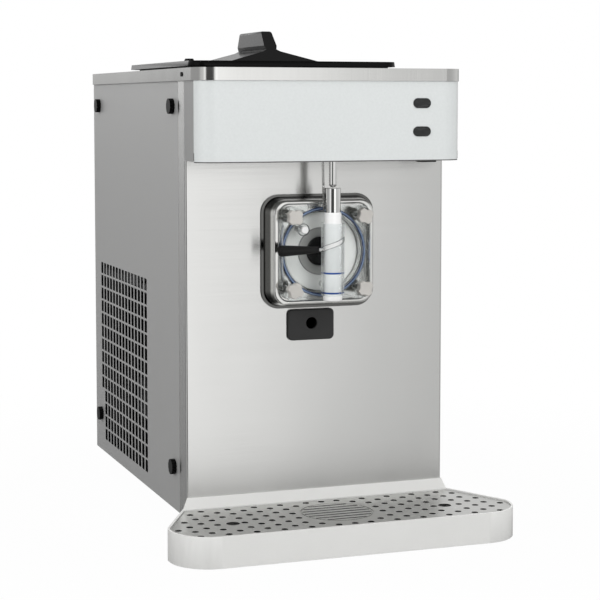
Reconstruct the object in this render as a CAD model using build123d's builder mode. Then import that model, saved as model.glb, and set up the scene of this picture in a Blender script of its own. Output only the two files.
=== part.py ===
from build123d import *
import math
import os

os.makedirs("parts", exist_ok=True)

# Countertop frozen drink machine. Millimetres, +Z up, the front looks along -Y.
# All heights are above the counter. All depths are measured back from the front panel.

# Cabinet
CAB_W = 400.0
CAB_D = 566.0
FOOT_H = 31.0
FOOT_D = 44.0
FOOT_TOP_D = 36.0
FOOT_INSET_X = 62.0
FOOT_INSET_Y = 78.0
PANEL_TOP = 659.0
SHEET = 1.5
PAN_T = 2.0
PAN_H = 20.0
RETURN = 34.0
BEND_R = 3.0
PANEL_GAP = 0.5
LIP = 10.0

# Reach of the parts that set the overall depth
TRAY_REACH = 172.5
GLAND_OUT = 12.0
Y0 = TRAY_REACH - (TRAY_REACH + CAB_D + GLAND_OUT) / 2
REAR = Y0 + CAB_D

# Inner frame
POST = 24.0
POST_T = 2.0
POST_X = CAB_W / 2 - SHEET - PAN_T - POST / 2
POST_FRONT = 68.0
POST_REAR = 531.0
RAIL_H = 12.0
SHELF_T = 3.0
SHELF_DROP = 69.0
SHELF_FRONT = 285.0
SHELF_REAR = 518.0

# Side panel vents and thumb screws
VENT_W = 14.5
VENT_H = 18.6
VENT_R = 1.5
VENT_PITCH_Y = 20.7
VENT_PITCH_Z = 21.9
VENT_COLS = 15
VENT_ROWS = 14
VENT_FIRST_Y = 224.5
VENT_FIRST_Z = 63.0
VENT_SHORT_ROWS = 4
THUMB_D = 22.6
THUMB_H = 7.0
THUMB_SHIFT = 6.0
THUMB_SHANK_D = 6.0
THUMB_SHANK_L = 14.0
THUMB_HOLE_D = 7.0
THUMB_Z_LOW = 95.0
THUMB_Z_HIGH = 623.0
THUMB_FLUTES = 12
FLUTE_R = 1.6

# Header
HEAD_HW = 202.4
HEAD_OUT = 70.0
HEAD_R = 30.0
HEAD_Z = 546.0
FASCIA_T = 2.5
FASCIA_BACK = 49.0
CHEEK_HW = 200.7
LAMP_X = 135.0
LAMP_Z_HIGH = 627.4
LAMP_Z_LOW = 586.8
LAMP_W = 27.5
LAMP_H = 14.3
LAMP_LIP = 1.8
LAMP_PROUD = 0.8
LAMP_DEEP = 10.0
BOARD_W = 70.0
BOARD_H = 84.0
BOARD_T = 1.6
BOARD_Y = 30.0
ROCKER_X = 160.0
ROCKER_Y = 30.0
ROCKER_W = 22.0
ROCKER_L = 13.0
ROCKER_H = 8.0
ROCKER_GAP = 0.6
ROCKER_BODY = 20.0
ROCKER_FRAME = 2.0
ROCKER_DROP = 0.5
ROCKER_PIN_D = 1.6
ROCKER_PIN_L = 1.4
ROCKER_PIN_FIT = 0.1

# Top cap
CAP_HW = 203.0
CAP_OUT = 71.5
CAP_TOP = 677.0
CAP_REAR_R = 6.0
CAP_SCREW_Y = 3.0
CAP_SCREW_Z = 668.0
CAP_SCREW_D = 6.5
CAP_SCREW_H = 1.4

# Hopper and lid
HOP_HW = 149.0
HOP_Y0 = 97.0
HOP_Y1 = 428.0
HOP_R = 28.0
HOP_T = 1.2
HOP_Z = 528.0
HOP_GAP = 0.6
FLANGE = 8.0
GASKET_H = 3.8
GASKET_OUT = 11.0
LID_HW = 165.0
LID_Y0 = 82.0
LID_Y1 = 464.0
LID_R = 24.0
LID_DRAFT = 8.0
LID_TOP = 690.0
LID_SKIN = 3.0
LID_GAP = 0.4
LID_EDGE = 4.0
LID_LIP_IN = 3.0
LID_LIP_T = 2.5
LID_LIP_H = 10.0
LUG_X = 154.0
LUG_Y = 134.0
LUG_W = 16.0
LUG_H = 3.6
LUG_TAPER = 28.0
GRIP_FRONT = 185.0
GRIP_FRONT_TOP = 232.0
GRIP_BACK_TOP = 340.0
GRIP_BACK = 354.0
GRIP_TOP = 740.0
GRIP_BASE_HW = 80.5
GRIP_FOOT_HW = 14.0
GRIP_FOOT_Z = 708.0
GRIP_WAIST_HW = 8.2
GRIP_WAIST_Z = 711.0
GRIP_HW = 10.4
GRIP_HW_Z = 717.0
GRIP_TOP_HW = 8.6
GRIP_ROUND = 3.5

# Freezing cylinder
AXIS_Z = 413.0
BORE_R = 59.0
TUBE_T = 1.8
CYL_BACK = 262.0
CYL_WALL = 4.0
CYL_FLANGE_R = 70.0
CYL_FLANGE_T = 4.0
JACKET_R = 69.0
JACKET_Y0 = 20.0
JACKET_Y1 = 245.0
FOAM_HW = 84.0
FOAM_DOWN = 80.0
FOAM_UP = 84.0
FOAM_BACK = 256.0
INLET_Y = 200.0
INLET_D = 22.0
INLET_BORE = 18.0
INLET_GAP = 0.5
FEED_D = 17.4
FEED_BORE = 12.0
FEED_TOP = 655.0
FEED_COLLAR_D = 34.0
FEED_COLLAR_H = 4.0
FEED_PORT_D = 6.0
FEED_PORT_Z = 545.0
FEED_DIP = 30.0

# Door surround
SUR_W = 174.0
SUR_H = 166.0
SUR_R = 27.0
SUR_OUT = 30.0
SUR_FLANGE = 3.0
SUR_EDGE = 2.5
RIM_W = 153.0
RIM_H = 150.0
RIM_R = 20.0
RIM_ROUND = 3.0
RIM_INNER = 2.4
SUR_T = 2.0
SEAT = 24.0
SEAT_T = 2.0

# Freezer door
DOOR_W = 134.0
DOOR_H = 135.0
DOOR_R = 14.0
DOOR_FRONT = 42.0
DOOR_FIT = 1.6
SPIGOT_R = 57.5
SPIGOT_L = 8.0
SEAL_R = 62.6
SEAL_SEC = 2.2
SEAL_GROOVE = 5.2
STUD_X = 53.4
STUD_Z = 52.3
STUD_D = 8.0
STUD_HOLE = 9.0
STUD_END = 54.0
KNOB_D = 23.2
KNOB_FACE = 60.0
KNOB_GAP = 0.5
KNOB_LOBES = 4
KNOB_FLUTE_R = 10.7
KNOB_FLUTE_OFF = 19.95
KNOB_TURNS = (0.0, -15.0, 20.0, -10.0)
KNOB_NECK_D = 15.0
KNOB_NECK = 5.0
KNOB_ROUND = 1.5
KNOB_BORE = 8.8
PLUG_X = -37.0
PLUG_UP = 34.0
PLUG_D = 8.6
PLUG_HOLE = 9.2
PLUG_RING_D = 17.0
PLUG_RING_H = 4.0
PLUG_PROUD = 9.0
PLUG_HEAD_D = 10.8
PLUG_HEAD_H = 4.0

# Draw valve
VALVE_X = 1.5
VALVE_Y = 60.0
VALVE_D = 33.2
VALVE_BORE = 28.0
VALVE_LOW = 353.5
VALVE_HIGH = 456.6
WEB_W = 22.0
PORT_Z = 366.0
PORT_D = 10.0
PISTON_D = 27.2
PISTON_LOW = 345.3
PISTON_HIGH = 472.2
PISTON_EDGE = 1.2
COLLAR_D = 24.6
RING_Z_LOW = 357.0
RING_Z_HIGH = 385.5
RING_SEC = 1.3
RING_R = 12.4
VCAP_D = 22.6
VCAP_TOP = 507.2
VCAP_EDGE = 1.0
LEVER_Z = 419.0
LEVER_TURN = 150.0
LEVER_LIFT = 15.0
ARM_D = 4.8
ARM_IN = 8.0
ARM_HOLE = 5.1
ARM_END = 44.0
SLOT_W = 6.4
SLOT_STEP = 3.0
HGRIP_NEAR = 22.0
HGRIP_FAR = 81.5
HGRIP_R_NEAR = 4.4
HGRIP_R_MID = 6.6
HGRIP_R_FAR = 8.4
HGRIP_HOLE = 5.0
ROD_D = 11.0
ROD_GAP = 0.5
ROD_TOP = 606.0
ROD_HOLE = 12.4
ROD_COLLAR_D = 15.0
ROD_COLLAR_H = 4.0
ROD_COLLAR_Z = 560.0
SWITCH_W = 28.0
SWITCH_D = 10.0
SWITCH_H = 18.0
SWITCH_X = 20.0
SWITCH_Z = 590.0
SWITCH_FOOT_T = 2.0
SWITCH_LEAF = 6.0
SWITCH_LEAF_T = 1.0
STRIP_W = 3.2
STRIP_T = 1.5
STRIP_Y = 44.0
STRIP_TOP_X = -7.7
STRIP_LOW_X = -6.1
STRIP_LOW = 473.4

# Drip drawer
DRAWER_X = -11.0
DRAWER_Z = 305.2
DRAWER_W = 71.0
DRAWER_H = 45.6
DRAWER_R = 7.0
DRAWER_FACE = 5.0
DRAWER_GAP = 0.6
TUB_W = 60.0
TUB_H = 36.0
TUB_L = 210.0
TUB_T = 2.0
TUB_FIT = 2.0
FINGER_D = 17.5
GUIDE_T = 1.2
GUIDE_FIT = 0.8
GUIDE_L = 222.0

# Drip tray and grate
TRAY_REAR_HW = 207.0
TRAY_REAR_Y = 4.0
TRAY_HW = 258.0
TRAY_SHOULDER_Y = 104.0
TRAY_FRONT_HW = 255.0
TRAY_CORNER_R = 58.0
TRAY_SHOULDER_R = 30.0
TRAY_RIM = 46.0
TRAY_PAD = 2.1
TRAY_PAD_D = 26.0
TRAY_PAD_X = 190.0
TRAY_PAD_Y0 = 50.0
TRAY_PAD_Y1 = 146.0
TRAY_T = 3.0
TRAY_FLOOR = 4.0
BACK_TOP_HW = 199.5
BACK_TOP_Z = 61.4
BACK_T = 2.5
BACK_GAP = 0.5
GRATE_DROP = 2.2
GRATE_T = 1.5
GRATE_FIT = 0.8
GRATE_LEDGE = 4.0
HOLE_D = 9.6
HOLE_PITCH = 40.0
HOLE_FIRST_X = 24.0
HOLE_ROW = 13.55
HOLE_ROWS = 11
HOLE_ROW_Y = 18.0
HOLE_COLS = 6
HOLE_EDGE = 10.0
GRILLE_R = 50.0
GRILLE_Y = 83.0
GRILLE_SLOTS = 7
GRILLE_PITCH = 13.4
GRILLE_SLOT = 3.6
GRILLE_GROOVE = 1.2
GRILLE_DEEP = 0.7
GRILLE_CLEAR = 6.0
THUMB_HOLE_X = 161.5
THUMB_HOLE_Y = 99.3
THUMB_HOLE_OD = 19.0
THUMB_HOLE_CLEAR = 2.4

# Beater and drive
SHAFT_D = 18.0
SHAFT_BACK = 335.0
SHAFT_HOLE = 19.0
RIBBON_R = 50.0
RIBBON_W = 11.0
RIBBON_T = 4.0
RIBBON_PITCH = 118.0
RIBBON_Y0 = 12.0
RIBBON_L = 236.0
ARM_COUNT = 5
BEATER_ARM_D = 8.0
HUB_D = 42.0
HUB_T = 12.0
BUSH_GAP = 2.0
BUSH_HEAD = 5.0
PLATE_R = 57.0
PLATE_T = 3.0
PLATE_Y = 12.5
PLATE_HOLE_R = 21.5
PLATE_COLLAR_R = 34.0
PLATE_COLLAR_IN = 22.0
PLATE_COLLAR_H = 2.0
SPIDER_R = 39.0
SPIDER_IN = 31.0
SPIDER_T = 4.0
SPIDER_BAR = 10.0
GEAR_HW = 56.0
GEAR_Y0 = 290.0
GEAR_Y1 = 386.0
GEAR_UP = 62.0
GEAR_NOSE_R = 36.0
GEAR_ROUND = 6.0
INPUT_D = 14.0
INPUT_HOLE = 15.0
INPUT_IN = 30.0
PULLEY_Y = 404.0
PULLEY_W = 20.0
PULLEY_BIG_R = 50.0
PULLEY_SMALL_R = 25.0
PULLEY_GROOVE = 7.0
GROOVE_W = 12.0
BELT_W = 10.0
BELT_T = 6.0
BELT_GAP = 0.5
MOTOR_R = 65.0
MOTOR_Y0 = 434.0
MOTOR_Y1 = 550.0
MOTOR_DROP = 10.0
MOTOR_BELL = 18.0
MOTOR_BELL_R = 58.0
MOTOR_SHAFT_D = 16.0
MOTOR_HOLE = 17.0
MOTOR_IN = 40.0
SADDLE_W = 70.0
BELT_SLOT_HW = 58.0
BELT_SLOT_Y0 = 397.0
BELT_SLOT_Y1 = 431.0

# Cooling plant
COMP_X = -104.0
COMP_Y = 290.0
COMP_R = 70.0
COMP_Z0 = 50.0
COMP_Z1 = 232.0
COMP_DOME = 34.0
COMP_BASE_W = 150.0
COMP_BASE_L = 200.0
COMP_BASE_T = 4.0
COMP_LEG_D = 16.0
COMP_BOX_W = 46.0
COMP_BOX_H = 64.0
COMP_BOX_T = 14.0
COMP_BOX_Z = 190.0
COND_X0 = 140.0
COND_X1 = 182.0
COND_Y0 = 208.0
COND_Y1 = 502.0
COND_Z1 = 300.0
FIN_T = 1.2
FIN_COUNT = 30
COND_TUBE_D = 9.0
COND_TUBE_ROWS = 8
SHROUD_X = 118.0
SHROUD_T = 1.5
FAN_Y = 355.0
FAN_Z = 166.5
FAN_R = 104.0
FAN_HOLE_R = 109.0
FAN_HUB_R = 30.0
FAN_HUB_L = 24.0
FAN_X = 112.0
FAN_BLADES = 5
FAN_BLADE_T = 2.5
FAN_BLADE_W = 62.0
FAN_PITCH = 22.0
FAN_SHAFT_D = 8.0
FMOTOR_R = 36.0
FMOTOR_L = 52.0
FMOTOR_GAP = 8.0
FBAR_W = 16.0
FBAR_T = 3.0
BOX_X0 = 70.0
BOX_X1 = 166.0
BOX_Y0 = 30.0
BOX_Y1 = 160.0
BOX_Z1 = 250.0
BOX_T = 1.5
GLAND_X = 120.0
GLAND_Z = 110.0
GLAND_D = 24.0
GLAND_HOLE = 18.0
GLAND_BORE = 9.0
GLAND_IN = 16.0
POLY_SIDES = 6
LINE_R = 5.0
LINE_BEND = 12.0
STUB_R = 7.0
STUB_Z = 246.0
SUCTION_X = -126.0
SUCTION_Y = 275.0
SUCTION_R = 65.0
DISCHARGE_X = -84.0
DISCHARGE_Y = 312.0
DISCHARGE_UP = 328.0
REAR_VENT_W = 40.0
REAR_VENT_H = 6.0
REAR_VENT_COLS = 6
REAR_VENT_ROWS = 12
REAR_VENT_PITCH_X = 52.0
REAR_VENT_PITCH_Z = 16.0
REAR_VENT_Z = 470.0


# Upright plane facing the front, a given depth behind the front panel
def upright(depth):
    return Plane.XZ.offset(-(Y0 + depth))


MID_Y = Y0 + CAB_D / 2
PANEL_MID_Z = (FOOT_H + PANEL_TOP) / 2
PANEL_H = PANEL_TOP - FOOT_H
PAN_FLOOR = FOOT_H + PAN_T
CAP_UNDER = CAP_TOP - SHEET
SHELF_Z = AXIS_Z - SHELF_DROP
RAIL_Z = SHELF_Z - RAIL_H / 2

# Base pan with an upturned edge
with BuildPart() as base_pan:
    with BuildSketch(Plane.XY.offset(FOOT_H)):
        with Locations((0, MID_Y)):
            Rectangle(CAB_W - 2 * SHEET, CAB_D - 2 * SHEET)
    extrude(amount=PAN_H)
    with BuildSketch(Plane.XY.offset(PAN_FLOOR)):
        with Locations((0, MID_Y)):
            Rectangle(CAB_W - 2 * SHEET - 2 * PAN_T, CAB_D - 2 * SHEET - 2 * PAN_T)
    extrude(amount=PAN_H, mode=Mode.SUBTRACT)
base_pan.part.label = "base_pan"
export_step(base_pan.part, "parts/base_pan.step")

# Four tapered rubber feet under the pan
FOOT_X = CAB_W / 2 - FOOT_INSET_X
FOOT_YF = Y0 + FOOT_INSET_Y
FOOT_YR = REAR - FOOT_INSET_Y
FOOT_SPOTS = [(FOOT_X, FOOT_YF), (-FOOT_X, FOOT_YF), (FOOT_X, FOOT_YR), (-FOOT_X, FOOT_YR)]
with BuildPart() as feet:
    for spot in FOOT_SPOTS:
        with BuildSketch(Plane.XY):
            with Locations(spot):
                Circle(FOOT_D / 2)
        with BuildSketch(Plane.XY.offset(FOOT_H)):
            with Locations(spot):
                Circle(FOOT_TOP_D / 2)
        loft()
feet.part.label = "feet"
export_step(feet.part, "parts/feet.step")

# Welded frame: four tube posts, top rails and shelf rails
POST_H = CAP_UNDER - PAN_FLOOR
POST_SPOTS = [
    (POST_X, Y0 + POST_FRONT),
    (-POST_X, Y0 + POST_FRONT),
    (POST_X, Y0 + POST_REAR),
    (-POST_X, Y0 + POST_REAR),
]
RAIL_MID = Y0 + (POST_FRONT + POST_REAR) / 2
RAIL_L = POST_REAR - POST_FRONT
TOP_RAIL_Z = CAP_UNDER - RAIL_H / 2
with BuildPart() as frame:
    with BuildSketch(Plane.XY.offset(PAN_FLOOR)):
        with Locations(*POST_SPOTS):
            Rectangle(POST, POST)
    extrude(amount=POST_H)
    with Locations((POST_X, RAIL_MID, TOP_RAIL_Z), (-POST_X, RAIL_MID, TOP_RAIL_Z)):
        Box(POST, RAIL_L, RAIL_H)
    with Locations((POST_X, RAIL_MID, RAIL_Z), (-POST_X, RAIL_MID, RAIL_Z)):
        Box(POST, RAIL_L, RAIL_H)
    with Locations((0, Y0 + POST_FRONT, TOP_RAIL_Z), (0, Y0 + POST_REAR, TOP_RAIL_Z)):
        Box(2 * POST_X, POST, RAIL_H)
    with BuildSketch(Plane.XY.offset(PAN_FLOOR)):
        with Locations(*POST_SPOTS):
            Rectangle(POST - 2 * POST_T, POST - 2 * POST_T)
    extrude(amount=POST_H - RAIL_H, mode=Mode.SUBTRACT)
    for height in (THUMB_Z_LOW, THUMB_Z_HIGH):
        for depth in (POST_FRONT - THUMB_SHIFT, POST_REAR - THUMB_SHIFT):
            with Locations(Location((0, Y0 + depth, height), (0, 90, 0))):
                Cylinder(THUMB_HOLE_D / 2, CAB_W, mode=Mode.SUBTRACT)
frame.part.label = "frame"
export_step(frame.part, "parts/frame.step")

# Front panel with bent side returns, door opening and drawer opening
with BuildPart() as front_panel:
    with BuildSketch(Plane.XY.offset(FOOT_H)) as front_plan:
        with Locations((0, Y0 + RETURN / 2)):
            Rectangle(CAB_W, RETURN)
        fillet(front_plan.vertices().group_by(Axis.Y)[0], BEND_R)
        with Locations((0, Y0 + SHEET + RETURN / 2)):
            Rectangle(CAB_W - 2 * SHEET, RETURN, mode=Mode.SUBTRACT)
    extrude(amount=PANEL_H)
    with BuildSketch(upright(SHEET)):
        with Locations((0, AXIS_Z)):
            RectangleRounded(RIM_W, RIM_H, RIM_R)
        with Locations((DRAWER_X, DRAWER_Z)):
            Rectangle(TUB_W + 2 * TUB_FIT, TUB_H + 2 * TUB_FIT)
    extrude(amount=SHEET, mode=Mode.SUBTRACT)
front_panel.part.label = "front_panel"
export_step(front_panel.part, "parts/front_panel.step")

# Vented side panels with an inward lip at the front edge
SIDE_Y = RETURN + PANEL_GAP
SIDE_L = CAB_D - SIDE_Y
SIDE_MID = Y0 + SIDE_Y + SIDE_L / 2
LIP_Z0 = FOOT_H + PAN_H + PANEL_GAP
LIP_H = PANEL_TOP - LIP_Z0
VENT_SPOTS = [
    (Y0 + VENT_FIRST_Y + col * VENT_PITCH_Y, VENT_FIRST_Z + row * VENT_PITCH_Z)
    for col in range(VENT_COLS)
    for row in range(VENT_ROWS)
    if col < VENT_COLS - 1 or row >= VENT_SHORT_ROWS
]
THUMB_SPOTS = [
    (Y0 + POST_FRONT - THUMB_SHIFT, THUMB_Z_LOW),
    (Y0 + POST_FRONT - THUMB_SHIFT, THUMB_Z_HIGH),
    (Y0 + POST_REAR - THUMB_SHIFT, THUMB_Z_LOW),
    (Y0 + POST_REAR - THUMB_SHIFT, THUMB_Z_HIGH),
]
with BuildPart() as left_side_panel:
    with BuildSketch(Plane.YZ.offset(-CAB_W / 2)):
        with Locations((SIDE_MID, PANEL_MID_Z)):
            Rectangle(SIDE_L, PANEL_H)
        with Locations(*VENT_SPOTS):
            RectangleRounded(VENT_W, VENT_H, VENT_R, mode=Mode.SUBTRACT)
        with Locations(*THUMB_SPOTS):
            Circle(THUMB_HOLE_D / 2, mode=Mode.SUBTRACT)
    extrude(amount=SHEET)
    with Locations((LIP / 2 - CAB_W / 2, Y0 + SIDE_Y + SHEET / 2, LIP_Z0 + LIP_H / 2)):
        Box(LIP, SHEET, LIP_H)
left_side_panel.part.label = "left_side_panel"
export_step(left_side_panel.part, "parts/left_side_panel.step")

with BuildPart() as right_side_panel:
    mirror(left_side_panel.part, about=Plane.YZ)
right_side_panel.part.label = "right_side_panel"
export_step(right_side_panel.part, "parts/right_side_panel.step")

# Rear panel with louvre slots and the hole for the cord gland
with BuildPart() as rear_panel:
    with BuildSketch(upright(CAB_D)):
        with Locations((0, PANEL_MID_Z)):
            Rectangle(CAB_W - 2 * SHEET, PANEL_H)
        with Locations((0, REAR_VENT_Z)):
            with GridLocations(REAR_VENT_PITCH_X, REAR_VENT_PITCH_Z, REAR_VENT_COLS, REAR_VENT_ROWS):
                SlotOverall(REAR_VENT_W, REAR_VENT_H, mode=Mode.SUBTRACT)
        with Locations((GLAND_X, GLAND_Z)):
            Circle(GLAND_HOLE / 2 + INLET_GAP, mode=Mode.SUBTRACT)
    extrude(amount=SHEET)
rear_panel.part.label = "rear_panel"
export_step(rear_panel.part, "parts/rear_panel.step")

# Black thumb screws that hold both side panels
with BuildPart() as panel_screws:
    for side in (-1, 1):
        turn = Plane.YZ if side > 0 else Plane.ZY
        head_plane = turn.offset(CAB_W / 2)
        for spot in THUMB_SPOTS:
            local = spot if side > 0 else (spot[1], spot[0])
            with BuildSketch(head_plane):
                with Locations(local):
                    Circle(THUMB_D / 2)
                    with PolarLocations(THUMB_D / 2 + FLUTE_R / 2, THUMB_FLUTES):
                        Circle(FLUTE_R, mode=Mode.SUBTRACT)
            extrude(amount=THUMB_H)
            with BuildSketch(head_plane):
                with Locations(local):
                    Circle(THUMB_SHANK_D / 2)
            extrude(amount=-THUMB_SHANK_L)
panel_screws.part.label = "panel_screws"
export_step(panel_screws.part, "parts/panel_screws.step")

# Header box: bottom plate and side cheeks in front of the front panel
HEAD_H = PANEL_TOP - HEAD_Z
CHEEK_T = SHEET
PLATE_FRONT = HEAD_OUT - FASCIA_T - PANEL_GAP / 2
PLATE_HW = HEAD_HW - FASCIA_T - PANEL_GAP / 2
with BuildPart() as header_box:
    with BuildSketch(Plane.XY.offset(HEAD_Z)) as head_plan:
        with Locations((0, Y0 - (PLATE_FRONT + SHEET) / 2 + SHEET / 2)):
            Rectangle(2 * PLATE_HW, PLATE_FRONT)
        fillet(head_plan.vertices().group_by(Axis.Y)[0], HEAD_R - FASCIA_T)
        with Locations((0, Y0 - FASCIA_BACK / 2)):
            Rectangle(2 * CHEEK_HW, FASCIA_BACK)
    extrude(amount=SHEET)
    with BuildSketch(Plane.XY.offset(HEAD_Z)):
        with Locations((CHEEK_HW - CHEEK_T / 2, Y0 - FASCIA_BACK / 2)):
            Rectangle(CHEEK_T, FASCIA_BACK)
        with Locations((CHEEK_T / 2 - CHEEK_HW, Y0 - FASCIA_BACK / 2)):
            Rectangle(CHEEK_T, FASCIA_BACK)
    extrude(amount=HEAD_H)
    with BuildSketch(Plane.XY.offset(HEAD_Z)):
        with Locations((VALVE_X, Y0 - VALVE_Y)):
            Circle(ROD_HOLE / 2)
        with Locations((ROCKER_X, Y0 - ROCKER_Y)):
            Rectangle(ROCKER_W + 2 * ROCKER_FRAME, ROCKER_L + 2 * ROCKER_FRAME)
    extrude(amount=SHEET, mode=Mode.SUBTRACT)
header_box.part.label = "header_box"
export_step(header_box.part, "parts/header_box.step")

# Header fascia that wraps both front corners
LAMP_SPOTS = [(LAMP_X, LAMP_Z_HIGH), (LAMP_X, LAMP_Z_LOW)]
with BuildPart() as header_fascia:
    with BuildSketch(Plane.XY.offset(HEAD_Z)) as fascia_plan:
        with Locations((0, Y0 - HEAD_OUT / 2)):
            Rectangle(2 * HEAD_HW, HEAD_OUT)
        fillet(fascia_plan.vertices().group_by(Axis.Y)[0], HEAD_R)
    extrude(amount=HEAD_H)
    with BuildSketch(Plane.XY.offset(HEAD_Z)) as fascia_inside:
        with Locations((0, Y0 - (HEAD_OUT - FASCIA_T) / 2)):
            Rectangle(2 * (HEAD_HW - FASCIA_T), HEAD_OUT - FASCIA_T)
        fillet(fascia_inside.vertices().group_by(Axis.Y)[0], HEAD_R - FASCIA_T)
    extrude(amount=HEAD_H, mode=Mode.SUBTRACT)
    with BuildSketch(Plane.XY.offset(HEAD_Z)):
        with Locations((0, Y0 - FASCIA_BACK / 2)):
            Rectangle(2 * HEAD_HW, FASCIA_BACK)
    extrude(amount=HEAD_H, mode=Mode.SUBTRACT)
    with BuildSketch(upright(-HEAD_OUT)):
        with Locations(*LAMP_SPOTS):
            SlotOverall(LAMP_W - 2 * LAMP_LIP, LAMP_H - 2 * LAMP_LIP)
    extrude(amount=-FASCIA_T, mode=Mode.SUBTRACT)
header_fascia.part.label = "header_fascia"
export_step(header_fascia.part, "parts/header_fascia.step")

# Two dark indicator lamps in the fascia
LAMP_FIT = LAMP_LIP + PANEL_GAP / 2
with BuildPart() as indicator_lamps:
    with BuildSketch(upright(-HEAD_OUT)):
        with Locations(*LAMP_SPOTS):
            SlotOverall(LAMP_W, LAMP_H)
    extrude(amount=LAMP_PROUD)
    with BuildSketch(upright(-HEAD_OUT)):
        with Locations(*LAMP_SPOTS):
            SlotOverall(LAMP_W - 2 * LAMP_FIT, LAMP_H - 2 * LAMP_FIT)
    extrude(amount=-LAMP_DEEP)
indicator_lamps.part.label = "indicator_lamps"
export_step(indicator_lamps.part, "parts/indicator_lamps.step")

# Control board standing on the header bottom behind the lamps
BOARD_Z0 = HEAD_Z + SHEET
with BuildPart() as control_board:
    with Locations((LAMP_X - BOARD_W / 4, Y0 - BOARD_Y - LAMP_DEEP, BOARD_Z0 + BOARD_H / 2)):
        Box(BOARD_W, BOARD_T, BOARD_H)
    with Locations((LAMP_X - BOARD_W / 4, Y0 - BOARD_Y - LAMP_DEEP / 2, BOARD_Z0 + BOARD_H / 2)):
        Box(BOARD_W / 2, LAMP_DEEP, BOARD_H / 2)
control_board.part.label = "control_board"
export_step(control_board.part, "parts/control_board.step")

# Rocker switch under the header: fixed frame and tilting paddle
with BuildPart() as switch_frame:
    with BuildSketch(Plane.XY.offset(HEAD_Z)):
        with Locations((ROCKER_X, Y0 - ROCKER_Y)):
            Rectangle(ROCKER_W + 4 * ROCKER_FRAME, ROCKER_L + 4 * ROCKER_FRAME)
    extrude(amount=-ROCKER_FRAME)
    with BuildSketch(Plane.XY.offset(HEAD_Z)):
        with Locations((ROCKER_X, Y0 - ROCKER_Y)):
            Rectangle(ROCKER_W + 2 * ROCKER_FRAME - PANEL_GAP, ROCKER_L + 2 * ROCKER_FRAME - PANEL_GAP)
    extrude(amount=ROCKER_BODY)
    with BuildSketch(Plane.XY.offset(HEAD_Z - ROCKER_FRAME)):
        with Locations((ROCKER_X, Y0 - ROCKER_Y)):
            Rectangle(ROCKER_W, ROCKER_L)
    extrude(amount=ROCKER_BODY - ROCKER_FRAME, mode=Mode.SUBTRACT)
    with BuildSketch(Plane.XZ.offset(ROCKER_Y - Y0)):
        with Locations((ROCKER_X, HEAD_Z - ROCKER_DROP)):
            Circle(ROCKER_PIN_D / 2 + ROCKER_PIN_FIT)
    extrude(amount=ROCKER_L / 2 + ROCKER_PIN_L, both=True, mode=Mode.SUBTRACT)
switch_frame.part.label = "switch_frame"
export_step(switch_frame.part, "parts/switch_frame.step")

PADDLE_HW = ROCKER_W / 2 - ROCKER_GAP
with BuildPart() as rocker_switch:
    with BuildSketch(Plane.XZ.offset(-(Y0 - ROCKER_Y + ROCKER_L / 2 - ROCKER_GAP))):
        with BuildLine():
            Polyline(
                (ROCKER_X - PADDLE_HW, HEAD_Z - ROCKER_FRAME - ROCKER_GAP),
                (ROCKER_X, HEAD_Z - ROCKER_FRAME + ROCKER_GAP),
                (ROCKER_X + PADDLE_HW, HEAD_Z - ROCKER_FRAME - ROCKER_GAP),
                (ROCKER_X + PADDLE_HW - ROCKER_GAP, HEAD_Z + ROCKER_FRAME),
                (ROCKER_X, HEAD_Z + ROCKER_H),
                (ROCKER_X - PADDLE_HW + ROCKER_GAP, HEAD_Z + ROCKER_FRAME),
                close=True,
            )
        make_face()
    extrude(amount=ROCKER_L - 2 * ROCKER_GAP)
    with BuildSketch(Plane.XZ.offset(ROCKER_Y - Y0)):
        with Locations((ROCKER_X, HEAD_Z - ROCKER_DROP)):
            Circle(ROCKER_PIN_D / 2)
    extrude(amount=ROCKER_L / 2 + ROCKER_PIN_L - ROCKER_PIN_FIT, both=True)
rocker_switch.part.label = "rocker_switch"
export_step(rocker_switch.part, "parts/rocker_switch.step")

# Top cap: shallow tray turned over, with the hopper opening
CAP_L = CAP_OUT + CAB_D
CAP_MID = Y0 - CAP_OUT + CAP_L / 2
HOP_MID = Y0 + (HOP_Y0 + HOP_Y1) / 2
HOP_L = HOP_Y1 - HOP_Y0
with BuildPart() as top_cap:
    with BuildSketch(Plane.XY.offset(PANEL_TOP)) as cap_plan:
        with Locations((0, CAP_MID)):
            Rectangle(2 * CAP_HW, CAP_L)
        fillet(cap_plan.vertices().group_by(Axis.Y)[0], HEAD_R)
        fillet(cap_plan.vertices().group_by(Axis.Y)[-1], CAP_REAR_R)
    extrude(amount=CAP_TOP - PANEL_TOP)
    with BuildSketch(Plane.XY.offset(PANEL_TOP)) as cap_inside:
        with Locations((0, CAP_MID)):
            Rectangle(2 * CAP_HW - 2 * SHEET, CAP_L - 2 * SHEET)
        fillet(cap_inside.vertices().group_by(Axis.Y)[0], HEAD_R - SHEET)
        fillet(cap_inside.vertices().group_by(Axis.Y)[-1], CAP_REAR_R - SHEET)
    extrude(amount=CAP_UNDER - PANEL_TOP, mode=Mode.SUBTRACT)
    with BuildSketch(Plane.XY.offset(CAP_UNDER)):
        with Locations((0, HOP_MID)):
            RectangleRounded(2 * HOP_HW + 2 * HOP_GAP, HOP_L + 2 * HOP_GAP, HOP_R + HOP_GAP)
    extrude(amount=SHEET, mode=Mode.SUBTRACT)
top_cap.part.label = "top_cap"
export_step(top_cap.part, "parts/top_cap.step")

# Small black screws in the skirt of the cap
with BuildPart() as cap_screws:
    for side in (-1, 1):
        mid_x = side * (CAP_HW + CAP_SCREW_H / 2)
        with Locations(Location((mid_x, Y0 + CAP_SCREW_Y, CAP_SCREW_Z), (0, 90, 0))):
            Cylinder(CAP_SCREW_D / 2, CAP_SCREW_H)
cap_screws.part.label = "cap_screws"
export_step(cap_screws.part, "parts/cap_screws.step")

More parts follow.
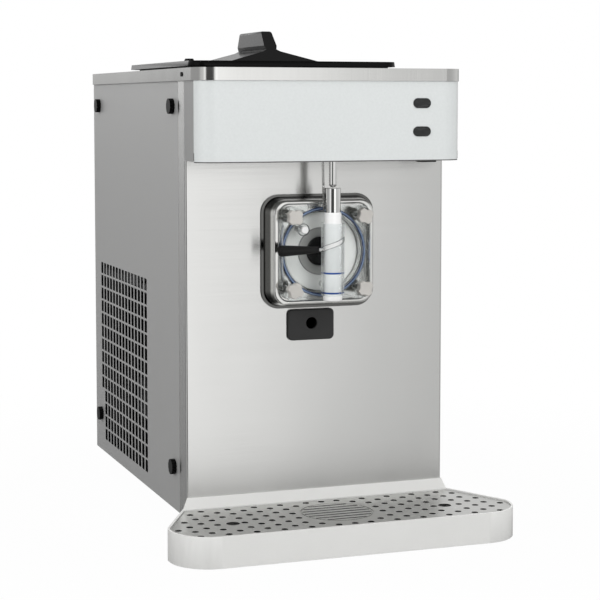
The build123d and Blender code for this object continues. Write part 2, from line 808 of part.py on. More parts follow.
# Stainless hopper hung in the cap by its flange
HOP_FLOOR = HOP_Z + HOP_T
with BuildPart() as hopper:
    with BuildSketch(Plane.XY.offset(HOP_Z)):
        with Locations((0, HOP_MID)):
            RectangleRounded(2 * HOP_HW, HOP_L, HOP_R)
    extrude(amount=CAP_TOP + HOP_T - HOP_Z)
    with BuildSketch(Plane.XY.offset(CAP_TOP)):
        with Locations((0, HOP_MID)):
            RectangleRounded(2 * HOP_HW + 2 * FLANGE, HOP_L + 2 * FLANGE, HOP_R + FLANGE)
    extrude(amount=HOP_T)
    with BuildSketch(Plane.XY.offset(HOP_FLOOR)):
        with Locations((0, HOP_MID)):
            RectangleRounded(2 * HOP_HW - 2 * HOP_T, HOP_L - 2 * HOP_T, HOP_R - HOP_T)
    extrude(amount=CAP_TOP - HOP_Z, mode=Mode.SUBTRACT)
    with BuildSketch(Plane.XY.offset(HOP_Z)):
        with Locations((0, Y0 + INLET_Y)):
            Circle(INLET_BORE / 2)
    extrude(amount=HOP_T, mode=Mode.SUBTRACT)
hopper.part.label = "hopper"
export_step(hopper.part, "parts/hopper.step")

# Rubber gasket on the hopper flange
GASKET_Z = CAP_TOP + HOP_T
with BuildPart() as hopper_gasket:
    with BuildSketch(Plane.XY.offset(GASKET_Z)):
        with Locations((0, HOP_MID)):
            RectangleRounded(2 * HOP_HW + 2 * GASKET_OUT, HOP_L + 2 * GASKET_OUT, HOP_R + GASKET_OUT)
            RectangleRounded(2 * HOP_HW + HOP_GAP, HOP_L + HOP_GAP, HOP_R + HOP_GAP, mode=Mode.SUBTRACT)
    extrude(amount=GASKET_H)
hopper_gasket.part.label = "hopper_gasket"
export_step(hopper_gasket.part, "parts/hopper_gasket.step")

# Lift-off lid with a moulded ridge handle
LID_Z = GASKET_Z + GASKET_H + LID_GAP
LID_MID = Y0 + (LID_Y0 + LID_Y1) / 2
LID_L = LID_Y1 - LID_Y0
LIP_HW = HOP_HW - HOP_T - LID_LIP_IN
LIP_L = HOP_L - 2 * HOP_T - 2 * LID_LIP_IN
LIP_R = HOP_R - HOP_T
with BuildPart() as hopper_lid:
    with BuildSketch(upright(GRIP_FRONT)):
        with BuildLine():
            Polyline(
                (GRIP_BASE_HW, LID_TOP - LID_SKIN),
                (GRIP_BASE_HW, LID_TOP),
                (GRIP_FOOT_HW, GRIP_FOOT_Z),
                (GRIP_WAIST_HW, GRIP_WAIST_Z),
                (GRIP_HW, GRIP_HW_Z),
                (GRIP_TOP_HW, GRIP_TOP),
                (-GRIP_TOP_HW, GRIP_TOP),
                (-GRIP_HW, GRIP_HW_Z),
                (-GRIP_WAIST_HW, GRIP_WAIST_Z),
                (-GRIP_FOOT_HW, GRIP_FOOT_Z),
                (-GRIP_BASE_HW, LID_TOP),
                (-GRIP_BASE_HW, LID_TOP - LID_SKIN),
                close=True,
            )
        make_face()
    extrude(amount=-(GRIP_BACK - GRIP_FRONT))
    with BuildSketch(Plane.YZ.offset(-GRIP_BASE_HW)):
        with BuildLine():
            Polyline(
                (Y0 + GRIP_FRONT, LID_TOP - LID_SKIN),
                (Y0 + GRIP_FRONT, LID_TOP),
                (Y0 + GRIP_FRONT_TOP, GRIP_TOP),
                (Y0 + GRIP_BACK_TOP, GRIP_TOP),
                (Y0 + GRIP_BACK, LID_TOP),
                (Y0 + GRIP_BACK, LID_TOP - LID_SKIN),
                close=True,
            )
        make_face()
    extrude(amount=2 * GRIP_BASE_HW, mode=Mode.INTERSECT)
    fillet(hopper_lid.faces().sort_by(Axis.Z)[-1].edges(), GRIP_ROUND)
    with BuildSketch(Plane.XY.offset(LID_Z)):
        with Locations((0, LID_MID)):
            RectangleRounded(2 * LID_HW, LID_L, LID_R)
    extrude(amount=LID_TOP - LID_Z, taper=LID_DRAFT)
    with BuildSketch(Plane.XY.offset(LID_Z)):
        with Locations((0, LID_MID)):
            RectangleRounded(2 * LID_HW - 2 * LID_EDGE, LID_L - 2 * LID_EDGE, LID_R - LID_EDGE)
    extrude(amount=LID_TOP - LID_SKIN - LID_Z, mode=Mode.SUBTRACT)
    with BuildSketch(Plane.XY.offset(LID_Z - LID_LIP_H)):
        with Locations((0, HOP_MID)):
            RectangleRounded(2 * LIP_HW, LIP_L, LIP_R)
            RectangleRounded(2 * LIP_HW - 2 * LID_LIP_T, LIP_L - 2 * LID_LIP_T, LIP_R, mode=Mode.SUBTRACT)
    extrude(amount=LID_LIP_H + LID_TOP - LID_SKIN - LID_Z)
    with BuildSketch(Plane.XY.offset(LID_TOP)):
        with Locations((-LUG_X, Y0 + LUG_Y)):
            Circle(LUG_W / 2)
    extrude(amount=LUG_H, taper=LUG_TAPER)
hopper_lid.part.label = "hopper_lid"
export_step(hopper_lid.part, "parts/hopper_lid.step")

# Feed tube standing in the hopper outlet
with BuildPart() as mix_feed_tube:
    with BuildSketch(Plane.XY.offset(HOP_FLOOR - FEED_DIP)):
        with Locations((0, Y0 + INLET_Y)):
            Circle(FEED_D / 2)
    extrude(amount=FEED_TOP - HOP_FLOOR + FEED_DIP)
    with BuildSketch(Plane.XY.offset(HOP_FLOOR)):
        with Locations((0, Y0 + INLET_Y)):
            Circle(FEED_COLLAR_D / 2)
    extrude(amount=FEED_COLLAR_H)
    with BuildSketch(Plane.XY.offset(HOP_FLOOR - FEED_DIP)):
        with Locations((0, Y0 + INLET_Y)):
            Circle(FEED_BORE / 2)
    extrude(amount=FEED_TOP - HOP_FLOOR + FEED_DIP, mode=Mode.SUBTRACT)
    with BuildSketch(upright(INLET_Y)):
        with Locations((0, FEED_PORT_Z)):
            Circle(FEED_PORT_D / 2)
    extrude(amount=FEED_D, mode=Mode.SUBTRACT)
mix_feed_tube.part.label = "mix_feed_tube"
export_step(mix_feed_tube.part, "parts/mix_feed_tube.step")

# Inlet tube from the hopper floor down to the freezing cylinder
CYL_TOP = AXIS_Z + BORE_R + TUBE_T
with BuildPart() as mix_inlet_tube:
    with BuildSketch(Plane.XY.offset(CYL_TOP)):
        with Locations((0, Y0 + INLET_Y)):
            Circle(INLET_D / 2)
            Circle(INLET_BORE / 2, mode=Mode.SUBTRACT)
    extrude(amount=HOP_Z - CYL_TOP)
mix_inlet_tube.part.label = "mix_inlet_tube"
export_step(mix_inlet_tube.part, "parts/mix_inlet_tube.step")

# Freezing cylinder with its front flange, rear wall and welded evaporator jacket
with BuildPart() as freezing_cylinder:
    with BuildSketch(upright(SEAT_T - SEAT)):
        with Locations((0, AXIS_Z)):
            Circle(BORE_R + TUBE_T)
    extrude(amount=-(CYL_BACK + SEAT - SEAT_T))
    with BuildSketch(upright(SEAT_T - SEAT)):
        with Locations((0, AXIS_Z)):
            Circle(CYL_FLANGE_R)
    extrude(amount=-CYL_FLANGE_T)
    with BuildSketch(upright(JACKET_Y0)):
        with Locations((0, AXIS_Z)):
            Circle(JACKET_R)
    extrude(amount=JACKET_Y0 - JACKET_Y1)
    with BuildSketch(upright(SEAT_T - SEAT)):
        with Locations((0, AXIS_Z)):
            Circle(BORE_R)
    extrude(amount=-(CYL_BACK - CYL_WALL + SEAT - SEAT_T), mode=Mode.SUBTRACT)
    with BuildSketch(upright(CYL_BACK)):
        with Locations((0, AXIS_Z)):
            Circle(SHAFT_HOLE / 2)
    extrude(amount=CYL_WALL, mode=Mode.SUBTRACT)
    with BuildSketch(Plane.XY.offset(AXIS_Z)):
        with Locations((0, Y0 + INLET_Y)):
            Circle(INLET_BORE / 2)
    extrude(amount=JACKET_R, mode=Mode.SUBTRACT)
    with BuildSketch(Plane.XY.offset(CYL_TOP)):
        with Locations((0, Y0 + INLET_Y)):
            Circle(INLET_D / 2 + INLET_GAP)
    extrude(amount=JACKET_R, mode=Mode.SUBTRACT)
freezing_cylinder.part.label = "freezing_cylinder"
export_step(freezing_cylinder.part, "parts/freezing_cylinder.step")

# Foam block round the cylinder
FOAM_MID_Z = AXIS_Z + (FOAM_UP - FOAM_DOWN) / 2
with BuildPart() as cylinder_insulation:
    with BuildSketch(upright(SHEET)):
        with Locations((0, FOAM_MID_Z)):
            Rectangle(2 * FOAM_HW, FOAM_UP + FOAM_DOWN)
        with Locations((0, AXIS_Z)):
            Circle(JACKET_R + INLET_GAP, mode=Mode.SUBTRACT)
    extrude(amount=-(FOAM_BACK - SHEET))
    with BuildSketch(Plane.XY.offset(AXIS_Z)):
        with Locations((0, Y0 + INLET_Y)):
            Circle(INLET_D / 2 + INLET_GAP)
    extrude(amount=2 * FOAM_UP, mode=Mode.SUBTRACT)
cylinder_insulation.part.label = "cylinder_insulation"
export_step(cylinder_insulation.part, "parts/cylinder_insulation.step")

# Raised stainless surround with the seat for the door
FOOT_W = SUR_W - 2 * SUR_FLANGE
FOOT_H = SUR_H - 2 * SUR_FLANGE
FOOT_R = SUR_R - SUR_FLANGE
SLOPE_W = (FOOT_W - RIM_W) / SUR_OUT
SLOPE_H = (FOOT_H - RIM_H) / SUR_OUT
CAVITY = SEAT - SEAT_T
with BuildPart() as door_surround:
    with BuildSketch(upright(0)):
        with Locations((0, AXIS_Z)):
            RectangleRounded(FOOT_W, FOOT_H, FOOT_R)
    with BuildSketch(upright(-SUR_OUT)):
        with Locations((0, AXIS_Z)):
            RectangleRounded(RIM_W, RIM_H, RIM_R)
    loft()
    fillet(door_surround.faces().sort_by(Axis.Y)[0].edges(), RIM_ROUND)
    with BuildSketch(upright(0)):
        with Locations((0, AXIS_Z)):
            RectangleRounded(SUR_W, SUR_H, SUR_R)
    extrude(amount=SUR_EDGE)
    with BuildSketch(upright(0)):
        with Locations((0, AXIS_Z)):
            RectangleRounded(FOOT_W - 2 * SUR_T, FOOT_H - 2 * SUR_T, FOOT_R - SUR_T)
    with BuildSketch(upright(-CAVITY)):
        with Locations((0, AXIS_Z)):
            RectangleRounded(
                FOOT_W - CAVITY * SLOPE_W - 2 * SUR_T,
                FOOT_H - CAVITY * SLOPE_H - 2 * SUR_T,
                RIM_R,
            )
    loft(mode=Mode.SUBTRACT)
    with BuildSketch(upright(-SUR_OUT)):
        with Locations((0, AXIS_Z)):
            RectangleRounded(DOOR_W + 2 * DOOR_FIT, DOOR_H + 2 * DOOR_FIT, DOOR_R + DOOR_FIT)
    extrude(amount=SEAT - SUR_OUT, mode=Mode.SUBTRACT)
    fillet(door_surround.faces().sort_by(Axis.Y)[0].inner_wires()[0].edges(), RIM_INNER)
    with BuildSketch(upright(-SEAT)):
        with Locations((0, AXIS_Z)):
            Circle(BORE_R)
    extrude(amount=-SEAT_T, mode=Mode.SUBTRACT)
door_surround.part.label = "door_surround"
export_step(door_surround.part, "parts/door_surround.step")

# Clear freezer door with the valve tube, prime boss, seal groove and lever slot
STUD_SPOTS = [(-STUD_X, STUD_Z), (STUD_X, STUD_Z), (-STUD_X, -STUD_Z), (STUD_X, -STUD_Z)]
STUD_PLACES = [(x, AXIS_Z + up) for x, up in STUD_SPOTS]
PLUG_Z = AXIS_Z + PLUG_UP
AXIS_VALVE = (VALVE_X, Y0 - VALVE_Y)
SLOT_STEPS = int(LEVER_TURN / SLOT_STEP)
with BuildPart() as freezer_door:
    with BuildSketch(upright(-SEAT)):
        with Locations((0, AXIS_Z)):
            RectangleRounded(DOOR_W, DOOR_H, DOOR_R)
    extrude(amount=DOOR_FRONT - SEAT)
    with BuildSketch(upright(-SEAT)):
        with Locations((0, AXIS_Z)):
            Circle(SPIGOT_R)
    extrude(amount=-SPIGOT_L)
    with BuildSketch(upright(-DOOR_FRONT)):
        with Locations((PLUG_X, PLUG_Z)):
            Circle(PLUG_RING_D / 2)
    extrude(amount=PLUG_RING_H)
    with BuildSketch(Plane.XY.offset(VALVE_LOW)):
        with Locations(AXIS_VALVE):
            Circle(VALVE_D / 2)
        with Locations((VALVE_X, Y0 - (VALVE_Y + DOOR_FRONT) / 2)):
            Rectangle(WEB_W, VALVE_Y - DOOR_FRONT + SHEET)
    extrude(amount=VALVE_HIGH - VALVE_LOW)
    with BuildSketch(Plane.XY.offset(VALVE_LOW)):
        with Locations(AXIS_VALVE):
            Circle(VALVE_BORE / 2)
    extrude(amount=VALVE_HIGH - VALVE_LOW, mode=Mode.SUBTRACT)
    with BuildSketch(upright(SPIGOT_L - SEAT)):
        with Locations((VALVE_X, PORT_Z)):
            Circle(PORT_D / 2)
    extrude(amount=VALVE_Y - SEAT + SPIGOT_L, mode=Mode.SUBTRACT)
    with BuildSketch(upright(SPIGOT_L - SEAT)):
        with Locations((PLUG_X, PLUG_Z)):
            Circle(PLUG_HOLE / 2)
        with Locations(*STUD_PLACES):
            Circle(STUD_HOLE / 2)
    extrude(amount=DOOR_FRONT + PLUG_RING_H, mode=Mode.SUBTRACT)
    with BuildSketch(upright(-SEAT)):
        with Locations((0, AXIS_Z)):
            Circle(SEAL_R + SEAL_GROOVE / 2)
            Circle(SEAL_R - SEAL_GROOVE / 2, mode=Mode.SUBTRACT)
    extrude(amount=2 * SEAL_SEC + PANEL_GAP, mode=Mode.SUBTRACT)
    for step in range(SLOT_STEPS + 1):
        swing = math.radians(180 + step * SLOT_STEP)
        rise = LEVER_LIFT * step / SLOT_STEPS
        reach = VALVE_D / 2
        mid = (
            VALVE_X + reach * math.cos(swing),
            Y0 - VALVE_Y + reach * math.sin(swing),
            LEVER_Z + rise,
        )
        with Locations(Location(mid, (0, 0, math.degrees(swing))) * Location((0, 0, 0), (0, 90, 0))):
            Cylinder(SLOT_W / 2, VALVE_D - VALVE_BORE + PORT_D / 2, mode=Mode.SUBTRACT)
freezer_door.part.label = "freezer_door"
export_step(freezer_door.part, "parts/freezer_door.step")

# Blue ring that seals the door on the surround
with BuildPart() as door_seal:
    with Locations(Location((0, Y0 - SEAT - SEAL_SEC, AXIS_Z), (90, 0, 0))):
        Torus(SEAL_R, SEAL_SEC)
door_seal.part.label = "door_seal"
export_step(door_seal.part, "parts/door_seal.step")

# Door studs on the seat
with BuildPart() as door_studs:
    with BuildSketch(upright(-SEAT)):
        with Locations(*STUD_PLACES):
            Circle(STUD_D / 2)
    extrude(amount=STUD_END - SEAT)
door_studs.part.label = "door_studs"
export_step(door_studs.part, "parts/door_studs.step")

# Four fluted hand knobs on the studs
KNOB_BACK = DOOR_FRONT + KNOB_GAP
KNOB_LOBE_Y = KNOB_BACK + KNOB_NECK
KNOB_HOLE_L = STUD_END - KNOB_BACK + KNOB_GAP


# One hand knob centred on a stud
def hand_knob(place, turn):
    with BuildPart() as knob:
        with BuildSketch(upright(-KNOB_LOBE_Y)):
            with Locations(place):
                Circle(KNOB_D / 2)
                with PolarLocations(KNOB_FLUTE_OFF, KNOB_LOBES, start_angle=turn):
                    Circle(KNOB_FLUTE_R, mode=Mode.SUBTRACT)
        extrude(amount=KNOB_FACE - KNOB_LOBE_Y)
        chamfer(knob.faces().sort_by(Axis.Y)[0].edges(), KNOB_ROUND / 2)
        with BuildSketch(upright(-KNOB_BACK)):
            with Locations(place):
                Circle(KNOB_NECK_D / 2)
        extrude(amount=KNOB_NECK)
        with BuildSketch(upright(-KNOB_BACK)):
            with Locations(place):
                Circle(KNOB_BORE / 2)
        extrude(amount=KNOB_HOLE_L, mode=Mode.SUBTRACT)
    return knob.part


for index, place in enumerate(STUD_PLACES):
    door_knob = hand_knob(place, KNOB_TURNS[index])
    door_knob.label = "door_knob_" + str(index + 1)
    export_step(door_knob, "parts/door_knob_" + str(index + 1) + ".step")

# Pull-out prime plug in the door
with BuildPart() as prime_plug:
    with BuildSketch(upright(SPIGOT_L - SEAT)):
        with Locations((PLUG_X, PLUG_Z)):
            Circle(PLUG_D / 2)
    extrude(amount=DOOR_FRONT + PLUG_PROUD - SEAT + SPIGOT_L)
    with BuildSketch(upright(-(DOOR_FRONT + PLUG_PROUD))):
        with Locations((PLUG_X, PLUG_Z)):
            Circle(PLUG_HEAD_D / 2)
    extrude(amount=-PLUG_HEAD_H)
    chamfer(prime_plug.faces().sort_by(Axis.Y)[0].edges(), KNOB_ROUND / 2)
prime_plug.part.label = "prime_plug"
export_step(prime_plug.part, "parts/prime_plug.step")

# White draw piston with ring grooves and the cross hole for the lever
with BuildPart() as draw_piston:
    with BuildSketch(Plane.XY.offset(PISTON_LOW)):
        with Locations(AXIS_VALVE):
            Circle(PISTON_D / 2)
    extrude(amount=VALVE_HIGH - PISTON_LOW)
    with BuildSketch(Plane.XY.offset(VALVE_HIGH)):
        with Locations(AXIS_VALVE):
            Circle(COLLAR_D / 2)
    extrude(amount=PISTON_HIGH - VALVE_HIGH)
    chamfer(draw_piston.faces().sort_by(Axis.Z)[0].edges(), PISTON_EDGE)
    chamfer(draw_piston.faces().sort_by(Axis.Z)[-1].edges(), PISTON_EDGE)
    for height in (RING_Z_LOW, RING_Z_HIGH):
        with BuildSketch(Plane.XY.offset(height - RING_SEC)):
            with Locations(AXIS_VALVE):
                Circle(PISTON_D)
                Circle(RING_R - RING_SEC, mode=Mode.SUBTRACT)
        extrude(amount=2 * RING_SEC, mode=Mode.SUBTRACT)
    with BuildSketch(Plane.YZ.offset(VALVE_X - ARM_IN)):
        with Locations((Y0 - VALVE_Y, LEVER_Z)):
            Circle(ARM_HOLE / 2)
    extrude(amount=-PISTON_D, mode=Mode.SUBTRACT)
draw_piston.part.label = "draw_piston"
export_step(draw_piston.part, "parts/draw_piston.step")

# Blue rings on the piston
with BuildPart() as piston_seals:
    with Locations((*AXIS_VALVE, RING_Z_LOW), (*AXIS_VALVE, RING_Z_HIGH)):
        Torus(RING_R, RING_SEC)
piston_seals.part.label = "piston_seals"
export_step(piston_seals.part, "parts/piston_seals.step")

# Polished cap on top of the piston
with BuildPart() as valve_cap:
    with BuildSketch(Plane.XY.offset(PISTON_HIGH)):
        with Locations(AXIS_VALVE):
            Circle(VCAP_D / 2)
    extrude(amount=VCAP_TOP - PISTON_HIGH)
    fillet(valve_cap.faces().sort_by(Axis.Z)[-1].edges(), VCAP_EDGE)
valve_cap.part.label = "valve_cap"
export_step(valve_cap.part, "parts/valve_cap.step")

# Steel arm through the slot, pointing left when the valve is shut
with BuildPart() as lever_arm:
    with BuildSketch(Plane.YZ.offset(VALVE_X - ARM_IN)):
        with Locations((Y0 - VALVE_Y, LEVER_Z)):
            Circle(ARM_D / 2)
    extrude(amount=ARM_IN - ARM_END)
lever_arm.part.label = "lever_arm"
export_step(lever_arm.part, "parts/lever_arm.step")

# Tapered black grip over the arm
HG_NEAR = VALVE_X - HGRIP_NEAR
HG_FAR = VALVE_X - HGRIP_FAR
HG_MID = (HG_NEAR + HG_FAR) / 2
HG_Y = Y0 - VALVE_Y
with BuildPart() as lever_grip:
    with BuildSketch(Plane.XZ.offset(-HG_Y)) as grip_half:
        with BuildLine():
            Polyline(
                (HG_NEAR, LEVER_Z),
                (HG_NEAR, LEVER_Z + HGRIP_R_NEAR),
                (HG_MID, LEVER_Z + HGRIP_R_MID),
                (HG_FAR, LEVER_Z + HGRIP_R_FAR),
                (HG_FAR, LEVER_Z),
                close=True,
            )
        make_face()
        fillet(grip_half.vertices().group_by(Axis.X)[0].sort_by(Axis.Y)[-1], GRIP_ROUND)
    revolve(axis=Axis((0, HG_Y, LEVER_Z), (1, 0, 0)))
    with BuildSketch(Plane.YZ.offset(HG_NEAR)):
        with Locations((HG_Y, LEVER_Z)):
            Circle(HGRIP_HOLE / 2)
    extrude(amount=HGRIP_NEAR - ARM_END, mode=Mode.SUBTRACT)
lever_grip.part.label = "lever_grip"
export_step(lever_grip.part, "parts/lever_grip.step")

# Push rod with a round lower end, guided by the header bottom
ROD_LOW = VCAP_TOP + ROD_GAP
with BuildPart() as push_rod:
    with BuildSketch(Plane.XY.offset(ROD_LOW)):
        with Locations(AXIS_VALVE):
            Circle(ROD_D / 2)
    extrude(amount=ROD_TOP - ROD_LOW)
    fillet(push_rod.faces().sort_by(Axis.Z)[0].edges(), ROD_D / 2 - PANEL_GAP)
    with BuildSketch(Plane.XY.offset(ROD_COLLAR_Z)):
        with Locations(AXIS_VALVE):
            Circle(ROD_COLLAR_D / 2)
    extrude(amount=ROD_COLLAR_H)
push_rod.part.label = "push_rod"
export_step(push_rod.part, "parts/push_rod.step")

# Draw switch on a stand beside the rod
SWITCH_MID = VALVE_X + SWITCH_X + SWITCH_D / 2
SWITCH_Y = Y0 - VALVE_Y + SWITCH_W / 2
with BuildPart() as draw_switch:
    with Locations((SWITCH_MID, SWITCH_Y, SWITCH_Z)):
        Box(SWITCH_D, SWITCH_W, SWITCH_H)
    with Locations((SWITCH_MID, SWITCH_Y, (HEAD_Z + SHEET + SWITCH_Z) / 2)):
        Box(SWITCH_FOOT_T, SWITCH_W, SWITCH_Z - HEAD_Z - SHEET)
    with Locations((SWITCH_MID, SWITCH_Y, HEAD_Z + SHEET + SWITCH_FOOT_T / 2)):
        Box(SWITCH_D, SWITCH_W, SWITCH_FOOT_T)
    with Locations((SWITCH_MID - SWITCH_LEAF, SWITCH_Y, SWITCH_Z - SWITCH_H / 2 + SWITCH_LEAF_T / 2)):
        Box(SWITCH_D, SWITCH_W / 2, SWITCH_LEAF_T)
draw_switch.part.label = "draw_switch"
export_step(draw_switch.part, "parts/draw_switch.step")

# Thin flat strip hung from the header beside the rod
with BuildPart() as guide_strip:
    with BuildSketch(upright(STRIP_T / 2 - STRIP_Y)):
        with BuildLine():
            Polyline(
                (STRIP_LOW_X - STRIP_W / 2, STRIP_LOW),
                (STRIP_LOW_X + STRIP_W / 2, STRIP_LOW),
                (STRIP_TOP_X + STRIP_W / 2, HEAD_Z),
                (STRIP_TOP_X - STRIP_W / 2, HEAD_Z),
                close=True,
            )
        make_face()
    extrude(amount=STRIP_T)
guide_strip.part.label = "guide_strip"
export_step(guide_strip.part, "parts/guide_strip.step")

# Black drip drawer with a finger hole
TUB_Z0 = DRAWER_Z - TUB_H / 2
with BuildPart() as drip_drawer:
    with BuildSketch(upright(-DRAWER_GAP)):
        with Locations((DRAWER_X, DRAWER_Z)):
            RectangleRounded(DRAWER_W, DRAWER_H, DRAWER_R)
    extrude(amount=DRAWER_FACE)
    chamfer(drip_drawer.faces().sort_by(Axis.Y)[0].edges(), KNOB_ROUND)
    with Locations((DRAWER_X, Y0 - DRAWER_GAP + TUB_L / 2, DRAWER_Z)):
        Box(TUB_W, TUB_L, TUB_H)
    with Locations((DRAWER_X, Y0 - DRAWER_GAP + TUB_L / 2, DRAWER_Z + TUB_T)):
        Box(TUB_W - 2 * TUB_T, TUB_L - 2 * TUB_T, TUB_H, mode=Mode.SUBTRACT)
    with BuildSketch(upright(0)):
        with Locations((DRAWER_X + PANEL_GAP, DRAWER_Z + TUB_FIT)):
            Circle(FINGER_D / 2)
    extrude(amount=2 * DRAWER_FACE, both=True, mode=Mode.SUBTRACT)
drip_drawer.part.label = "drip_drawer"
export_step(drip_drawer.part, "parts/drip_drawer.step")

# Channel that carries the drawer
GUIDE_W = TUB_W + 2 * GUIDE_FIT + 2 * GUIDE_T
with BuildPart() as drawer_guide:
    with BuildSketch(upright(SHEET)):
        with Locations((DRAWER_X, DRAWER_Z)):
            Rectangle(GUIDE_W, TUB_H + 2 * GUIDE_FIT + 2 * GUIDE_T)
        with Locations((DRAWER_X, DRAWER_Z + GUIDE_T)):
            Rectangle(GUIDE_W - 2 * GUIDE_T, TUB_H + 2 * GUIDE_FIT + 2 * GUIDE_T, mode=Mode.SUBTRACT)
    extrude(amount=-GUIDE_L)
drawer_guide.part.label = "drawer_guide"
export_step(drawer_guide.part, "parts/drawer_guide.step")

# White drip tray with splayed sides and a sloped back
TRAY_OUTLINE = [
    (TRAY_REAR_HW, Y0 - TRAY_REAR_Y),
    (TRAY_HW, Y0 - TRAY_SHOULDER_Y),
    (TRAY_FRONT_HW, Y0 - TRAY_REACH),
    (-TRAY_FRONT_HW, Y0 - TRAY_REACH),
    (-TRAY_HW, Y0 - TRAY_SHOULDER_Y),
    (-TRAY_REAR_HW, Y0 - TRAY_REAR_Y),
]
GRATE_Z = TRAY_RIM - GRATE_DROP
LEDGE_Z = GRATE_Z - GRATE_T - LID_GAP
PAD_SPOTS = [
    (TRAY_PAD_X, Y0 - TRAY_PAD_Y0),
    (-TRAY_PAD_X, Y0 - TRAY_PAD_Y0),
    (TRAY_PAD_X, Y0 - TRAY_PAD_Y1),
    (-TRAY_PAD_X, Y0 - TRAY_PAD_Y1),
]
with BuildPart() as drip_tray:
    with BuildSketch(Plane.XY.offset(TRAY_PAD)) as tray_plan:
        with BuildLine():
            Polyline(*TRAY_OUTLINE, close=True)
        make_face()
        fillet(tray_plan.vertices().group_by(Axis.Y)[0], TRAY_CORNER_R)
        fillet(tray_plan.vertices().sort_by(Axis.X)[0], TRAY_SHOULDER_R)
        fillet(tray_plan.vertices().sort_by(Axis.X)[-1], TRAY_SHOULDER_R)
    extrude(amount=TRAY_RIM - TRAY_PAD)
    with BuildSketch(Plane.XY.offset(LEDGE_Z)) as tray_mouth:
        with BuildLine():
            Polyline(*TRAY_OUTLINE, close=True)
        make_face()
        fillet(tray_mouth.vertices().group_by(Axis.Y)[0], TRAY_CORNER_R)
        fillet(tray_mouth.vertices().sort_by(Axis.X)[0], TRAY_SHOULDER_R)
        fillet(tray_mouth.vertices().sort_by(Axis.X)[-1], TRAY_SHOULDER_R)
        offset(amount=-TRAY_T, kind=Kind.INTERSECTION)
    extrude(amount=TRAY_RIM - LEDGE_Z, mode=Mode.SUBTRACT)
    with BuildSketch(Plane.XY.offset(TRAY_PAD + TRAY_FLOOR)) as tray_well:
        with BuildLine():
            Polyline(*TRAY_OUTLINE, close=True)
        make_face()
        fillet(tray_well.vertices().group_by(Axis.Y)[0], TRAY_CORNER_R)
        fillet(tray_well.vertices().sort_by(Axis.X)[0], TRAY_SHOULDER_R)
        fillet(tray_well.vertices().sort_by(Axis.X)[-1], TRAY_SHOULDER_R)
        offset(amount=-TRAY_T - GRATE_LEDGE, kind=Kind.INTERSECTION)
    extrude(amount=TRAY_RIM, mode=Mode.SUBTRACT)
    with BuildSketch(Plane.XY.offset(TRAY_RIM - SHEET)):
        with Locations((0, Y0 - TRAY_REAR_Y - TRAY_T / 2)):
            Rectangle(2 * TRAY_REAR_HW, TRAY_T)
    with BuildSketch(Plane.XY.offset(BACK_TOP_Z)):
        with Locations((0, Y0 - BACK_GAP - BACK_T / 2)):
            Rectangle(2 * BACK_TOP_HW, BACK_T)
    loft()
    with BuildSketch(Plane.XY):
        with Locations(*PAD_SPOTS):
            Circle(TRAY_PAD_D / 2)
    extrude(amount=TRAY_PAD)
drip_tray.part.label = "drip_tray"
export_step(drip_tray.part, "parts/drip_tray.step")

# Perforated drip grate with two finger holes and a slotted round grille
HOLE_SPOTS = []
for row in range(HOLE_ROWS):
    spot_y = HOLE_ROW_Y + row * HOLE_ROW
    edge_hw = TRAY_REAR_HW + (TRAY_HW - TRAY_REAR_HW) * min(1, spot_y / TRAY_SHOULDER_Y)
    places = [HOLE_FIRST_X + (col + row % 2 / 2) * HOLE_PITCH for col in range(HOLE_COLS)]
    for spot_x in [0, *places, *(-place for place in places)]:
        past_x = max(0, abs(spot_x) - TRAY_HW + TRAY_CORNER_R)
        past_y = max(0, spot_y - TRAY_REACH + TRAY_CORNER_R)
        in_corner = math.hypot(past_x, past_y) > TRAY_CORNER_R - HOLE_EDGE
        in_grille = math.hypot(spot_x, spot_y - GRILLE_Y) < GRILLE_R + GRILLE_CLEAR
        thumb_far = math.hypot(abs(spot_x) - THUMB_HOLE_X, spot_y - THUMB_HOLE_Y)
        in_thumb = thumb_far < (THUMB_HOLE_OD + HOLE_D) / 2 + THUMB_HOLE_CLEAR
        lone = spot_x == 0 and row % 2 == 1
        inside = abs(spot_x) < edge_hw - HOLE_EDGE
        if inside and not lone and not in_corner and not in_grille and not in_thumb:
            HOLE_SPOTS.append((spot_x, Y0 - spot_y))
with BuildPart() as drip_grate:
    with BuildSketch(Plane.XY.offset(GRATE_Z - GRATE_T)) as grate_plan:
        with BuildLine():
            Polyline(*TRAY_OUTLINE, close=True)
        make_face()
        fillet(grate_plan.vertices().group_by(Axis.Y)[0], TRAY_CORNER_R)
        fillet(grate_plan.vertices().sort_by(Axis.X)[0], TRAY_SHOULDER_R)
        fillet(grate_plan.vertices().sort_by(Axis.X)[-1], TRAY_SHOULDER_R)
        offset(amount=-TRAY_T - GRATE_FIT, kind=Kind.INTERSECTION)
        with Locations(*HOLE_SPOTS):
            Circle(HOLE_D / 2, mode=Mode.SUBTRACT)
        with Locations((THUMB_HOLE_X, Y0 - THUMB_HOLE_Y), (-THUMB_HOLE_X, Y0 - THUMB_HOLE_Y)):
            Circle(THUMB_HOLE_OD / 2, mode=Mode.SUBTRACT)
        for slot in range(GRILLE_SLOTS):
            off = (slot - (GRILLE_SLOTS - 1) / 2) * GRILLE_PITCH
            slot_l = 2 * math.sqrt(GRILLE_R * GRILLE_R - off * off)
            with Locations((0, Y0 - GRILLE_Y + off)):
                SlotOverall(slot_l, GRILLE_SLOT, mode=Mode.SUBTRACT)
    extrude(amount=GRATE_T)
    with BuildSketch(Plane.XY.offset(GRATE_Z)):
        with Locations((0, Y0 - GRILLE_Y)):
            Circle(GRILLE_R + 2 * GRILLE_GROOVE)
            Circle(GRILLE_R + GRILLE_GROOVE, mode=Mode.SUBTRACT)
    extrude(amount=-GRILLE_DEEP, mode=Mode.SUBTRACT)
drip_grate.part.label = "drip_grate"
